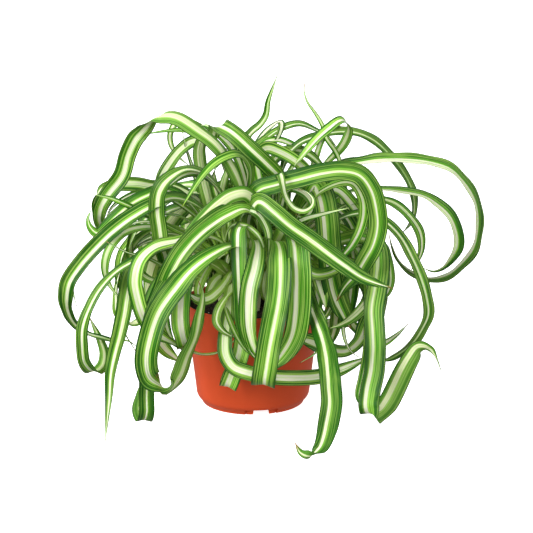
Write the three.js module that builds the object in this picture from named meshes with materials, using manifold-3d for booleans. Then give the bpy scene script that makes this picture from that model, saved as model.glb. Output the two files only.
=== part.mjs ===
// A curly spider plant in a plain nursery pot: four plantlets with long striped leaves, in potting mix.
// Millimetres, +Z up. The viewer of the leaf lists below looks along +Y.
import * as THREE from 'three';
import { mergeVertices } from 'three/addons/utils/BufferGeometryUtils.js';
import Module from 'manifold-3d';

const wasm = await Module();
wasm.setup();

// Pot: a standard 13 cm grower's pot
const POT_RIM_RADIUS = 65;
const POT_HEIGHT = 100;
const POT_BODY_BASE_RADIUS = 54;
const POT_BODY_BASE_HEIGHT = 7;
const POT_FOOT_RADIUS = 49;
const POT_FOOT_STEP_HEIGHT = 2.6;
const POT_WALL = 1.6;
const LIP_HEIGHT = 2.2;
const LIP_PROUD = 0.5;
const FLOOR_HEIGHT = 6;
const FLOOR_THICKNESS = 1.8;
const FOOT_WALL = 2;
const FOOT_NOTCHES = 3;
const NOTCH_TURN = 9.5;
const NOTCH_WIDTH_LOW = 16;
const NOTCH_WIDTH_HIGH = 13.5;
const NOTCH_HEIGHT = 5.4;
const DRAIN_HOLES = 6;
const DRAIN_RADIUS = 4;
const DRAIN_CIRCLE = 31;
const POT_SIDES = 40;

// Soil
const SOIL_TOP = 94;
const SOIL_MOUND = 2.4;
const SOIL_GAP = 0.3;
const SOIL_RINGS = 5;
const SOIL_CLODS = 0.9;

// Crowns: where each plantlet stands, as [to the right, towards the back]
const CROWNS = {
  front: [-2, -20],
  left: [-24, 1],
  right: [22, 0],
  back: [1, 23],
};
const CROWN_RADIUS = 12;
const CROWN_BOTTOM = 84;
const CROWN_TOP = 136;
const CROWN_ROUNDING = 12;
const CROWN_END_SHARE = 0.6;
const CROWN_SIDES = 10;
const CROWN_GAP = 0.35;
const LEAF_ROOT_HEIGHT = 99;
const LEAF_ROOT_OUT = 3;
const LEAF_NECK_HEIGHT = 113;
const LEAF_NECK_OUT = 6;

// Blades
const BLADE_THICKNESS = 1.3;
const BASE_WIDTH_SHARE = 0.26;
const BASE_LENGTH = 80;
const BASE_LENGTH_SHARE = 0.2;
const TIP_POWER = 2.4;
const TIP_WIDTH = 0.9;
const CHANNEL_ALONG = 14;
const CHANNEL_AT_BASE = 18;
const CHANNEL_BASE_SHARE = 0.3;
const EDGE_TURN_LIMIT = 0.8;
const SAMPLES_PER_SPAN = 8;
const STATION_TURN = 53;
const STATION_LENGTH = 72;

// The line of sight that the leaf lists are given along
const SIGHT_ELEVATION = 15.5;
const SIGHT_DISTANCE = 2400;
const SIGHT_ACROSS = 13;
const SIGHT_HEIGHT = 131;
const SIGHT_TOO_STEEP = 0.93;

const DEGREE = Math.PI / 180;
const EYE = new THREE.Vector3(
  SIGHT_ACROSS,
  -SIGHT_DISTANCE * Math.cos(SIGHT_ELEVATION * DEGREE),
  SIGHT_HEIGHT + SIGHT_DISTANCE * Math.sin(SIGHT_ELEVATION * DEGREE),
);

// Leaves that show from the front: plantlet, width, share of the length that the tip takes in percent, then the
// midrib's points after the neck as [across, up, near, turn]. Across and up are read on the upright plane through
// the pot's axis, near is the distance from there towards the viewer, and turn is how far the upper face is
// turned from the viewer, towards the left of the leaf's run. A point without turn leaves the blade to follow.
const SEEN_LEAVES = [
  // High loops and arches on the left
  ["left", 17, 24, [-18, 140, 8, 150], [-10, 190, 25, 130], [-12, 213, 32, 128], [-32, 249, 38, 132],
    [-52, 265.5, 36, 145], [-71, 277.5, 30, 148], [-84, 279, 21, 128], [-94, 275.5, 15, 80],
    [-103, 266, 10, 25], [-110.5, 257, 8, 5], [-117.5, 242, 5, 0], [-123.5, 222, 5, 0], [-136.5, 204, 5, 0],
    [-144.5, 190, 5, 10], [-146, 176, 2, 30], [-138, 169, -5, 60], [-125, 168, -10, 70],
    [-112, 167, -15, 70]],
  ["left", 8, 30, [-40, 150, 0, 40], [-75, 170, 10, 40], [-100, 184, 28, 40], [-118, 193, 37, 35],
    [-135, 200, 34, 35], [-150, 203, 27, 35]],
  ["left", 15, 28, [-30, 150, -10, -90], [-50, 195, -14, -70], [-75, 209, -16, -45], [-95, 210, -16, -20],
    [-110, 212.5, -15, -15], [-127, 212, -12, -20], [-140, 208, -8, -40], [-148, 200, -6, -100],
    [-150, 190, -4, -110], [-148, 180, -2, -120], [-141, 173, 0, -120]],
  ["left", 15, 30, [-35, 150, 5, -90], [-62, 196, 15, -60], [-85, 206.5, 22, -35], [-100, 201.5, 26, -30],
    [-115, 193.5, 29, -25], [-128, 182.5, 31, -25], [-139, 171.5, 32, -30], [-147, 165, 30, -10],
    [-154, 171, 28, 20], [-156, 180, 27, 30], [-153, 188, 26, 30]],
  ["left", 15, 16, [-30, 150, -5, 170], [-42, 200, -12, 165], [-48, 230, -15, 150], [-49, 248, -18, 145],
    [-44, 260, -24], [-38, 264, -33]],
  ["left", 14, 25, [-18, 160, -24, -90], [-20, 225, -30, -80], [-35, 252, -28, -60], [-55, 254, -26, -35],
    [-67.2, 246, -24, -30], [-78.2, 232, -22, -25], [-86.7, 216, -20, -20], [-87.7, 200, -20, -20],
    [-82, 185, -22, -10]],
  ["left", 16, 20, [-22, 150, 15, -90], [-28, 200, 30, -85], [-45, 222, 36, -75], [-62, 227, 40, -65],
    [-78, 219, 42, -45], [-88, 207, 42, -15], [-91, 190, 42, 0], [-89, 170, 42, 0], [-87, 155, 42, 0],
    [-83, 138, 38, 10], [-80, 118, 34, 20], [-84, 98, 30, 20]],
  ["left", 10, 35, [-16, 150, 12, -60], [-4, 205, 22, -50], [-3, 231, 26, -40], [-14, 242, 36, -40],
    [-27, 239, 46, -20], [-38, 232, 52, -10], [-48, 221, 55, 0], [-58, 206, 57, 0], [-67, 191, 58, 0]],
  ["left", 10, 28, [-26, 150, -15, -90], [-35, 195, -18, -70], [-55, 205, -18, -60], [-75, 199, -16, -50],
    [-95, 185, -14, -50], [-110, 168, -12, -50], [-118, 150, -10, -50]],
  ["left", 5, 40, [-35, 160, -6, 0], [-50, 205, -18, 0], [-57, 230, -22, 0], [-62, 246, -24, 0],
    [-66, 263, -26, 0]],
  ["left", 9, 20, [-26, 160, 10, 180], [-29, 200, 12, 180], [-25, 222, 12, 170], [-20, 233, 6]],
  // Leaves that hang and curl on the left
  ["left", 15.5, 28, [-28, 150, 15, -90], [-50, 190, 25, -70], [-75, 200, 32, -50], [-95, 193, 38, -35],
    [-113.5, 182.8, 42, -20], [-131.5, 169.8, 46, -5], [-148.5, 153.8, 50, 0], [-164.3, 135.8, 52, 0],
    [-176.3, 117.8, 54, 0], [-179.8, 103, 55, 20], [-179, 88, 56, 42], [-172, 74, 58, 60],
    [-159, 65, 60, 66], [-146, 61, 62, 60], [-133, 58, 64, 60], [-120, 58, 66, 60], [-112, 53, 67, 60]],
  ["left", 12, 22, [-30, 135, 30, -90], [-60, 152, 48, -70], [-90, 148, 60, -55], [-112, 138, 66, -50],
    [-130, 127, 70, -50], [-145, 111, 74, -45], [-156, 92, 77, -35], [-163.2, 72, 79, -20],
    [-164.2, 52, 80, 0], [-162.2, 36, 79, 0], [-153, 28, 70], [-145, 34, 60, 180], [-143, 46, 57, 180],
    [-147, 60, 56, 180], [-153, 74, 56, 170], [-157, 83, 57, 170]],
  ["left", 16.5, 60, [-45, 140, 25, -90], [-80, 152, 40, -60], [-103, 143, 50, -30], [-116, 125, 58, -10],
    [-121, 105, 68, 0], [-124.5, 84, 82, 0], [-129, 64, 98, 0], [-134, 45, 114, 0], [-138, 24, 130, 0],
    [-139.5, 2, 144, 0], [-141.5, -20, 155, 0], [-143.5, -43.5, 164, 0]],
  ["left", 10, 30, [-60, 165, 0, -80], [-95, 171, 10, -50], [-120, 166, 20, -40], [-134, 153, 26, -25],
    [-140, 138, 30, -20], [-140, 124, 32, -25], [-134, 110, 34, -35], [-126, 100, 36, -40]],
  ["left", 5, 35, [-60, 165, 0, -80], [-105, 176, 2, -60], [-128, 167, 4, -50], [-148, 152, 8, -45],
    [-164, 134, 12, -35], [-172, 117, 14, -20], [-171, 103, 14, -10], [-168, 91, 14, 0]],
  ["left", 5, 40, [-45, 120, 30, 40], [-75, 128, 46, 40], [-100, 141, 54, 40], [-120, 147, 54, 40],
    [-139, 157, 52, 40]],
  // Leaves that come forward over the left of the rim
  ["front", 15, 20, [-4, 150, 28, 150], [4, 190, 42, 150], [-6, 204, 52, 165], [-20, 202, 57, 180],
    [-33, 193, 61, 180], [-46, 180, 64, 180], [-57, 166, 66, 180], [-66, 150, 64, 180],
    [-72, 134, 60, 180]],
  ["front", 19, 20, [-2, 140, 30, -60], [4, 178, 46, -60], [-8, 190, 56, -50], [-26, 184, 64, -20],
    [-43, 173, 70, 0], [-58, 159, 75, 0], [-70, 144, 79, 0], [-80, 126, 82, 0], [-87, 108, 82, 0],
    [-94, 92, 80, 0], [-99, 76, 76, 10], [-102, 60, 72, 10]],
  ["front", 22, 32, [-4, 125, 40, 180], [-8, 147, 58], [-20, 152, 75, -70], [-38, 144, 88, -50],
    [-58.3, 129, 98, -30], [-75.3, 109, 106, -10], [-90.3, 87, 112, 0], [-99, 62, 116, 0],
    [-103, 40, 118, 0], [-101, 23, 117, 10], [-91.5, 14, 110, 50], [-79.5, 10, 100, 125],
    [-70.5, 22.5, 93, 135], [-63.5, 42, 90, 130], [-55, 62, 88, 130], [-50.5, 84, 86, 150],
    [-48, 98, 80, 150], [-48, 108, 77, 125], [-52, 118, 75, 110]],
  ["front", 15, 36, [-14, 130, 30, -90], [-30, 156, 45, -75], [-50, 162, 54, -60], [-72, 157, 62, -50],
    [-93.4, 151, 70, -40], [-106.4, 139, 77, -30], [-112.4, 120, 82, -5], [-110, 100, 85, 0],
    [-104, 80, 87, 10], [-93, 66, 84, 35], [-78, 56, 82, 60], [-63, 48, 80, 72], [-48, 44, 80, 75],
    [-34, 46, 80, 75], [-22, 54, 77, 70], [-14, 64, 74, 60]],
  ["front", 15, 14, [-20, 120, 35, 180], [-48, 138, 60], [-76, 122, 80, -30], [-94, 92, 94, 0],
    [-101, 60, 99, 0], [-102, 30, 100, 0], [-103, 1.5, 101, 0], [-103, -14.5, 101, 0], [-106, -21.5, 94],
    [-110, -11.5, 85, 165], [-108, 2, 80, 175], [-105, 22, 79, 180]],
  ["front", 18, 14, [-20, 122, 35, 180], [-40, 138, 52], [-57, 132, 64, -30], [-66, 115, 72, 0],
    [-69, 95, 77, 0], [-69.5, 76, 81, 0], [-68, 64, 83, 20], [-65, 55, 80], [-64, 60, 72, 180],
    [-66, 76, 68, 180]],
  ["front", 9, 30, [-10, 118, 40, 180], [-17, 112, 58], [-26, 101, 72, -40], [-33, 89, 78, -20],
    [-35, 78, 82, 0], [-30, 69, 84, 30], [-21, 63, 84, 50], [-12, 61, 82, 60]],
  ["front", 12, 14, [-12, 128, 32, -90], [-20, 127, 44, -60], [-25, 118, 52, -40], [-33, 108, 58, -20],
    [-42, 101, 62, -10], [-52, 99.5, 64, -10], [-61, 105, 64, -20]],
  // Leaves that hang over the front of the pot
  ["front", 15, 30, [0, 130, 34, -150], [-2, 158, 46, -140], [-7, 173, 58, -90], [-12, 168, 70, -30],
    [-13, 150, 80, 0], [-12.5, 125, 88, 0], [-11.5, 100, 92, 0], [-10.5, 78, 95, 0], [-6.5, 60, 97, 0],
    [-0.5, 46, 98, 0], [6.5, 36, 97, 0]],
  ["front", 18, 30, [0, 128, 34, 150], [-1, 148, 50, 140], [2, 158, 64, 100], [4, 151, 76, 45],
    [2, 134, 86, 10], [-3, 112, 94, 0], [-5, 90, 98, 0], [-4, 68, 100, 0], [1, 50, 101, 0],
    [8, 38, 100, 0]],
  ["front", 23, 14, [10, 125, 34, 160], [15, 148, 52, 150], [20, 157, 65, 100], [24, 152, 78, 45],
    [25, 136, 89, 10], [25, 118, 97, 0], [23, 97, 103, 0], [19, 75, 108, 0], [15, 52, 112, 0],
    [12, 32, 114, 0], [10, 19, 113, 0], [10, 15, 105], [11, 26, 98, 180], [12, 44, 95, 180]],
  ["front", 23, 26, [18, 130, 32, 160], [27, 158, 50, 150], [34, 167, 64, 90], [41, 156, 76, 30],
    [44, 134, 84, 5], [45, 108, 89, 0], [44, 84, 93, 0], [40, 62, 96, 0], [31, 45, 98, 0], [21, 34, 98, 0],
    [12, 28, 96, 0]],
  ["front", 17, 14, [-4, 130, 48, 180], [-8, 142, 62], [-10, 124, 74, 0], [-9, 95, 79, 0], [-9, 70, 81, 0],
    [-11, 50, 83, 0], [-15, 35, 86, 0], [-20, 22, 88, 0], [-23, 14, 87, 0], [-24, 13, 80],
    [-22, 26, 75, 180], [-18, 42, 72, 180]],
  ["front", 7, 30, [-14, 118, 38, 120], [-23, 113, 58, 60], [-27, 96, 72, 40], [-23, 80, 82, 40],
    [-16, 63, 88, 40], [-8, 50, 91, 40], [2, 41, 92, 40]],
  ["front", 15, 22, [-16, 120, 50, 180], [-22, 108, 66, 0], [-24, 82, 77, 0], [-27, 58, 84, 0],
    [-26, 44, 90, 0], [-19, 32, 95, 10], [-5, 26, 98, 10], [18, 22, 96, 0], [44, 21, 86, 0],
    [66, 23, 74, 0], [86, 30, 67, 0], [105, 39, 63, 0], [113, 43, 62, 0]],
  ["front", 20, 20, [20, 130, 30, 170], [31, 156, 44, 150], [38, 159, 54, 90], [44, 141, 64, 20],
    [51, 110, 76, -40], [60.5, 85, 87, -42], [68.5, 61, 110, -35], [73, 37, 142, -15], [75, 14, 168, 0],
    [76, -6, 188, 0], [73.5, -23, 203, 0], [70.5, -40, 216, -15], [65.5, -52, 227, -30], [57, -58, 232],
    [47, -55.5, 230, 180], [40.5, -45, 226, 180]],
  ["front", 4, 40, [24, 128, 34, 0], [48, 108, 50, 0], [68, 82, 66, 0], [70, 60, 76, 0], [60, 46, 82, 0],
    [45, 36, 84, 0]],
  // Leaves that cross the middle
  ["front", 19, 30, [0, 140, 28, 60], [-3, 180, 44, 30], [6, 196, 56, 10], [20, 186, 66, 0],
    [36, 172, 74, 0], [54, 159, 80, 0], [72, 145, 86, 0], [88, 133, 90, 0], [104, 122, 93, 0],
    [118, 116, 95, 0], [133, 111, 96, 0]],
  ["front", 19, 18, [6, 140, 24, 60], [0, 182, 34, 40], [4, 206, 40, 20], [22, 213, 45, 10],
    [45, 219, 49, 10], [65, 224, 52, 10], [85, 226, 54, 10], [101, 222, 56, 5], [112, 208, 57, 0],
    [117.2, 190, 57, 0], [118.7, 172, 57, 0], [114.7, 154, 57, 0], [107.2, 139, 56, 0], [99, 125, 55, 0],
    [88, 112, 53, 0], [80, 98, 52, 0]],
  ["front", 8, 30, [12, 150, 26, 60], [18, 190, 30, 50], [22, 211, 34, 50], [25.5, 222, 46],
    [27.5, 213, 60, 40], [31, 200, 64, 40], [38.5, 189.5, 66, 40], [48, 186.5, 66, 30], [56, 191, 63, 30],
    [57.5, 198.5, 59, 30], [51, 206, 55, 40], [43, 208, 52, 50]],
  ["front", 6, 40, [15, 140, 30, 0], [34, 168, 44, 0], [46, 178, 50, 0], [66, 184, 54, 0],
    [91, 190, 56, 0]],
  ["front", 8, 28, [-16, 130, 30, 120], [-25, 160, 46, 80], [-18, 173, 58, 60], [-5, 171, 66, 50],
    [5, 162, 70, 50], [10, 150, 72, 50], [12, 135, 72, 50]],
  ["front", 12, 28, [-2, 140, 36, 120], [-12, 172, 46, 90], [-6, 186, 52, 60], [4, 184, 58, 40],
    [12, 172, 62, 30], [15, 158, 66, 30], [14, 142, 68, 30]],
  // High leaves in the middle
  ["right", 17, 16, [26, 150, 2, 90], [33, 198, 14, 60], [27, 218, 26, 30], [14, 232, 33, 10],
    [0, 245, 36, 0], [-13, 257.5, 34, 0], [-22, 265, 29, 5], [-29, 268, 20], [-34, 267, 10],
    [-37, 260, 2, 170], [-38.5, 250, -5, 180]],
  ["right", 12, 26, [24, 150, 8, 90], [28, 200, 12, 75], [36, 226, 12, 65], [48, 241, 10, 60],
    [59.5, 255, 8, 45], [71, 266, 5, 30], [84, 274.5, 0, 60], [90, 267.5, -5, 115], [86.5, 255, -8, 150],
    [80, 245, -9, 165], [71, 236, -10, 165], [60, 224, -12, 165]],
  ["right", 13, 24, [16, 160, -2, 60], [8, 212, -6, 40], [5, 238, -2, 40], [13, 248, 4, 20],
    [26, 244, 8, 15], [39, 236.5, 9, 15], [50, 227, 9, 15], [60, 216, 8, 20], [68, 204, 6, 20]],
  ["right", 6, 45, [40, 160, -8, 50], [70, 205, -5, 50], [83, 230, -5, 50], [78.5, 244, -6, 20],
    [68.5, 259, -8, 15], [65.5, 270, -9, 10], [58.5, 282, -10, 10], [51.5, 292, -10, 10],
    [48.5, 301, -10, 10], [48.5, 310, -10, 10]],
  ["back", 9, 30, [-4, 160, -18, -60], [-8, 215, -12, -40], [-19, 246, -10, -20], [-31, 260, -12, -10],
    [-42, 269, -15, 0], [-50, 270, -22, -30]],
  ["back", 9, 40, [-3, 157, -27, -90], [-10, 217, -27, -60], [-11, 249, -23, 30], [-1.5, 263.3, -21, 30],
    [7.5, 271.5, -19, 20], [12.5, 280, -18, 10], [14.5, 293, -17, 5], [18.5, 305, -16, 5],
    [23, 317.5, -15, 5]],
  ["back", 10.5, 30, [2, 160, -37, 70], [-4, 212, -44, 60], [0, 244, -47, 50], [14.5, 258.5, -48, 45],
    [28, 267, -49, 45], [44, 271, -49, 50], [58, 265.8, -48, 50], [70, 259, -46, 50], [80, 248, -44, 50]],
  ["back", 8, 24, [-4, 170, -38, 70], [-7, 218, -50, 60], [1, 246, -55, 50], [13, 264, -56, 50],
    [26, 273, -54], [26, 265, -45, 10], [21.5, 254, -42, 10], [17.5, 244, -41, 10]],
  ["back", 9, 28, [4, 170, -36, 70], [2, 228, -40, 60], [10, 252, -42, 45], [22, 256, -42, 38],
    [36, 252, -40, 35], [48, 243, -38, 35], [58, 232, -37, 35]],
  ["back", 11, 20, [-1, 150, -17, 180], [-3, 195, -14, 180], [-6, 226, -14, 180], [-11, 244, -18],
    [-18, 250, -25, 0], [-26, 246, -33, 0]],
  ["back", 11, 20, [2, 160, -18, 180], [3, 205, -15, 180], [1, 231, -16, 180], [3, 244, -21],
    [8, 246, -29, 0], [13, 238, -38, 0]],
  ["back", 7, 34, [-12, 160, -34, -80], [-22, 220, -42, -70], [-38, 249, -45, -55], [-52, 262, -45, -40],
    [-66, 265, -45, -35], [-84, 264, -45, -35], [-103, 261, -46, -35]],
  ["back", 9, 28, [-16, 165, -42, -80], [-28, 230, -54, -70], [-42, 262, -57, -50], [-58, 272, -56, -40],
    [-71, 272, -54, -35], [-76.8, 262, -53, -35], [-75.8, 250, -53, -35], [-67.8, 238, -54, -35],
    [-59.8, 231, -55, -35]],
  // Arches and loops on the right
  ["right", 11, 14, [24, 160, -10, 90], [26, 212, -14, 75], [33, 240, -18, 50], [45, 253, -20, 45],
    [62, 259.5, -22, 45], [80, 263.5, -24, 42], [98, 262.5, -24, 40], [115, 254.5, -22, 38],
    [128.5, 241.5, -20, 38], [140.5, 226.5, -16, 40], [149.5, 209.5, -12, 45], [152.5, 192.5, -8, 50],
    [150.5, 178.5, -5, 55], [141.5, 164.5, 0, 60]],
  ["right", 15, 22, [35, 160, -8, 90], [60, 214, -6, 75], [82, 231, -4, 65], [100, 234.5, 0, 54],
    [120, 237.5, 4, 50], [145, 237.5, 8, 48], [168, 234.5, 12, 48], [186, 228.5, 15, 53],
    [197.7, 217.5, 18, 55], [208.2, 202, 20, 57], [213.2, 185, 22, 58], [213.2, 165, 24, 59],
    [209.3, 148.8, 26, 56], [198.3, 134.7, 27, 57], [184.8, 123.7, 28, 62], [167, 120.9, 28, 64],
    [150, 127.9, 27, 64], [138, 140, 25, 64], [132, 154, 23, 66], [129, 166, 21, 68]],
  ["right", 12, 20, [45, 160, -10, 90], [80, 200, -8, 75], [102, 207, -5, 70], [123.2, 208, 0, 62],
    [143.2, 206, 5, 58], [162.1, 202, 9, 50], [174.1, 195, 12, 40], [187.1, 183, 15, 32],
    [194.1, 167, 17, 28], [195.1, 152, 18, 30], [188.9, 140, 19, 42], [180.5, 131, 20, 56],
    [172, 128, 20, 64], [162, 131, 20, 68]],
  ["right", 12, 26, [50, 160, 0, 80], [85, 190, 6, 70], [110, 198, 12, 60], [128, 196, 16, 50],
    [139, 190, 19, 45], [149.8, 179, 22, 38], [157.8, 166, 24, 32], [159.8, 150, 26, 30],
    [155.8, 137, 27, 34], [150, 128, 27, 45]],
  ["right", 13, 13, [50, 150, 12, 80], [85, 180, 24, 65], [110, 184, 32, 55], [125.5, 176, 38, 50],
    [139.5, 162, 43, 40], [150.5, 143, 48, 36], [159.5, 123, 52, 32], [165.5, 103, 56, 32],
    [167.5, 85, 58, 36], [162.0, 70.8, 60, 42], [154.0, 57.8, 61, 50], [143.0, 47.8, 61, 52],
    [132.0, 40.8, 60, 50], [121.0, 37.8, 58, 50]],
  // Leaves that hang and curl on the right
  ["right", 10, 20, [30, 150, 12, 60], [52, 195, 22, 50], [78, 213, 30, 40], [94, 214, 34, 20],
    [103, 201, 37, 10], [105, 186, 38, 0], [102, 170, 38, 0], [95, 155, 38, 0], [86, 143, 37, 0],
    [77, 132, 34, 0]],
  ["right", 24, 18, [35, 150, 6, 60], [48, 196, 14, 40], [59, 213, 20, 10], [66, 202, 26, 0],
    [70, 182, 30, 0], [72, 160, 33, 0], [74, 138, 35, 0], [77, 118, 37, 0], [82, 99, 38, 0],
    [89, 82, 39, 0], [94, 70, 40, 0]],
  ["right", 8, 22, [27, 150, 12, 60], [28, 190, 20, 40], [36, 208, 28, 30], [48, 204, 31, 20],
    [55, 195, 32, 20], [54, 186, 32, 20], [47, 181, 31, 20], [40, 184, 30, 20]],
  ["right", 12, 26, [45, 170, 0, 60], [64, 208, 6, 40], [80, 208, 10, 20], [93, 196, 12, 10],
    [103, 181, 14, 0], [109, 165, 15, 0], [111, 148, 15, 0]],
  ["right", 14, 22, [50, 150, -4, 60], [75, 170, 2, 40], [92, 160, 8, 20], [97, 138, 12, 0],
    [95, 112, 16, 0], [93, 90, 20, 0], [92, 74, 24, 0]],
  ["right", 20, 20, [50, 140, 8, 60], [84, 158, 18, 40], [107, 161, 28, 20], [118, 152, 35, 5],
    [121, 135, 44, 0], [119, 112, 54, 0], [116, 90, 63, 0], [117, 70, 71, 0], [118, 50, 79, 0],
    [117, 28, 87, 0], [113, 6, 95, 0], [112, -8, 101, 0], [115.5, -15.5, 99], [124.5, -13, 90, 160],
    [131.5, -3, 83, 180], [138.5, 12, 79, 180], [145.0, 27, 76, 180], [152.0, 41, 74, 180],
    [159.0, 51, 72, 160], [169.0, 50, 71, 120], [177.0, 39, 71, 100], [181.0, 29, 71, 100]],
  ["right", 10, 7, [60, 150, 2, 60], [92, 156, 12, 40], [104, 140, 22, 20], [109.6, 110, 40, 10],
    [111.1, 75, 60, 5], [110.1, 45, 74, 0], [106.1, 20, 82, 0], [103.1, 3, 87, 0], [105.1, -9, 90, 0]],
  ["right", 10, 26, [55, 135, 16, 60], [90, 150, 24, 50], [112, 156, 30, 45], [124, 152, 34, 45],
    [128.2, 142, 37, 45], [131.2, 128, 39, 50], [131.2, 115, 40, 50], [127.2, 105, 40, 45],
    [117.0, 97, 38, 40], [109, 91, 36, 40]],
  ["right", 9, 40, [50, 130, 5, 0], [78, 100, 14, 0], [98, 72, 24, 0], [112, 59.5, 32, 0],
    [124, 55.5, 38, 0], [137, 63.5, 42, 0], [149, 75.5, 44, 0]],
  ["right", 17, 10, [60, 132, 12, 60], [93, 130, 20, 30], [110, 112, 28, 12], [113, 92, 34, 10],
    [108, 74, 38, 8], [100, 58, 41, 40], [90, 50, 42, 48], [78, 50, 46, 45], [68, 53, 55, 30],
    [56, 58.5, 66, 0], [42, 61.5, 74, 0]],
  ["right", 14, 28, [60, 135, 22, 120], [95, 134, 32, 150], [111, 118, 40, 150], [112, 103, 46, 152],
    [106, 93, 50, 155], [96, 82.5, 52, 155], [84, 74.5, 53, 150], [74, 71, 54, 150]],
  ["right", 5, 40, [55, 125, 14, 0], [78, 105, 28, 0], [86, 82, 38, 0], [87, 66, 44, 0], [90, 55, 47, 0],
    [95, 47, 49, 0], [102, 42, 50, 0]],
  ["right", 13, 25, [34, 150, 10, 60], [44, 146, 26, 20], [50, 133, 38, -20], [60, 126, 46, -30],
    [72, 127, 50, -20], [84, 133, 50, 0], [93, 141, 46, 0]],
  ["right", 11, 24, [45, 150, 2, 60], [68, 150, 10, 30], [82, 130, 20, 0], [80, 108, 26, 0],
    [72, 88, 30, 0], [64, 74, 32, 0]],
  ["left", 12, 24, [-40, 140, 14, -90], [-66, 148, 26, -50], [-82, 132, 36, -20], [-87, 110, 42, 0],
    [-86, 85, 46, 0], [-81, 66, 48, 0], [-74, 55, 48, 0]],
  ["right", 12, 25, [20, 160, -12, 60], [13, 205, -17, 60], [17, 230, -19, 40], [30, 244, -19, 25],
    [46, 245, -19, 25], [60, 236, -18, 25], [71, 222, -17, 25]],
  ["right", 7, 30, [46, 165, -16, 30], [53, 210, -20, 25], [59, 236, -22, 20], [66, 256, -23, 20],
    [75, 267, -25, 40], [86, 270, -28, 60]],
  ["left", 6, 30, [-35, 160, 2, 20], [-75, 198, 2, 20], [-105, 206, 10, 20], [-122, 200, 14, 20],
    [-134, 190, 15, 20], [-140, 177, 14, 20]],
  ["right", 13, 28, [30, 150, -12, 60], [60, 182, -14, 50], [76, 190, -12, 40], [88, 182, -8, 20],
    [97, 166, -4, 10], [101, 148, 0, 0], [100, 130, 4, 0]],
  ["left", 12, 26, [-29, 130, 16, -60], [-40, 134, 26, -30], [-47, 124, 33, -10], [-52, 110, 38, 0],
    [-51, 97, 41, 0]],
  ["front", 12, 26, [-8, 124, 24, -60], [-20, 127, 33, -40], [-33, 121, 38, -20], [-41, 109, 41, 0],
    [-43, 97, 42, 0]],
  ["right", 13, 26, [40, 138, 10, 60], [55, 134, 22, 20], [63, 120, 32, 0], [67.5, 104, 40, 0],
    [70, 90, 45, 0]],
  ["left", 16, 16, [-50, 140, 5, -60], [-78, 128, 12, -40], [-93, 108, 18, -20], [-98, 87, 22, 0],
    [-94, 67, 25, 10], [-85, 50, 27, 20], [-70, 37, 28, 30]],
  ["left", 9, 30, [-22, 150, 8, -90], [-30, 200, 20, -80], [-44, 219, 27, -50], [-55, 223, 30, -40],
    [-64, 221.5, 31, -35], [-72, 217, 31, -30], [-79, 211, 31, -20], [-86, 201, 31, 0]],
  ["left", 7, 30, [-24, 150, -6, 160], [-30, 190, -9, 160], [-36, 214, -10, 160], [-35, 228, -11],
    [-28, 237, -14, 0], [-20, 243, -17, 0]],
  ["right", 13, 24, [46, 142, 2, 60], [65, 128, 6, 20], [77, 108, 11, 0], [80, 88, 15, 0], [78, 68, 19, 0],
    [72, 50, 23, 0]],
  ["right", 12, 24, [42, 146, 4, 60], [56, 140, 16, 10], [62, 122, 24, -10], [63, 104, 32, -10],
    [62, 92, 38, -10], [58, 80, 44, -10]],
];

// Leaves on the far side that repeat the habit of a leaf that shows: plantlet, place in the list above, how far it
// is turned about the pot's axis in degrees, 1 or -1 for its mirror image, and its size beside the first
const TURNED_LEAVES = [
  ["back", 19, 180, 1, 0.95],
  ["back", 20, 180, -1, 1],
  ["back", 27, 172, 1, 1],
  ["back", 28, 188, -1, 0.95],
  ["back", 25, 184, 1, 1],
  ["back", 29, 200, -1, 1],
  ["back", 32, 195, 1, 0.85],
  ["back", 34, 165, 1, 1],
  ["back", 35, 185, -1, 0.8],
  ["back", 21, 150, -1, 0.95],
  ["back", 18, 190, -1, 0.95],
  ["right", 57, 57, 1, 0.95],
  ["left", 11, -45, 1, 0.8],
  ["left", 12, -52, 1, 0.84],
];

// Leaves on the far side, which spring up, bend over and wind in: plantlet, width, share of the tip in percent,
// compass heading from +X, length, how late the bend comes, the whole bend, sideways drift, and twist. Degrees.
const FAR_LEAVES = [
  ["back", 15, 28, 68, 310, 0.9, 245, -25, -40],
  ["back", 17, 26, 112, 320, 1.0, 235, 25, 50],
  ["back", 14, 30, 84, 290, 1.7, 330, -35, -60],
  ["back", 13, 30, 52, 285, 1.5, 300, -30, 45],
  ["back", 15, 28, 134, 300, 1.3, 275, 30, -45],
  ["back", 16, 24, 95, 315, 0.9, 205, 12, -30],
  ["back", 12, 32, 100, 270, 2.1, 380, -20, 60],
  ["left", 14, 28, 154, 220, 1.1, 250, 10, 40],
  ["left", 15, 26, 146, 245, 0.8, 215, 8, -35],
  ["left", 12, 30, 160, 240, 1.5, 340, 15, 30],
  ["right", 14, 28, 28, 218, 1.0, 255, -10, -40],
  ["right", 15, 26, 35, 242, 0.8, 215, -8, 35],
  ["right", 12, 30, 20, 240, 1.5, 340, -15, -30],
];
const FAR_LEAF_POINTS = 9;
const FAR_LEAF_START = 84;
const FAR_LEAF_STEPS = 12;

// Soft rise from 0 to 1 between two values
function rise(low, high, value) {
  const share = Math.min(Math.max((value - low) / (high - low), 0), 1);
  return share * share * (3 - 2 * share);
}

// The point that shows at a place on the upright plane, brought nearer along the line of sight
function seenPoint(across, up, near) {
  const point = new THREE.Vector3(across, 0, up);
  return point.lerp(EYE, near / -EYE.y);
}

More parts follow.
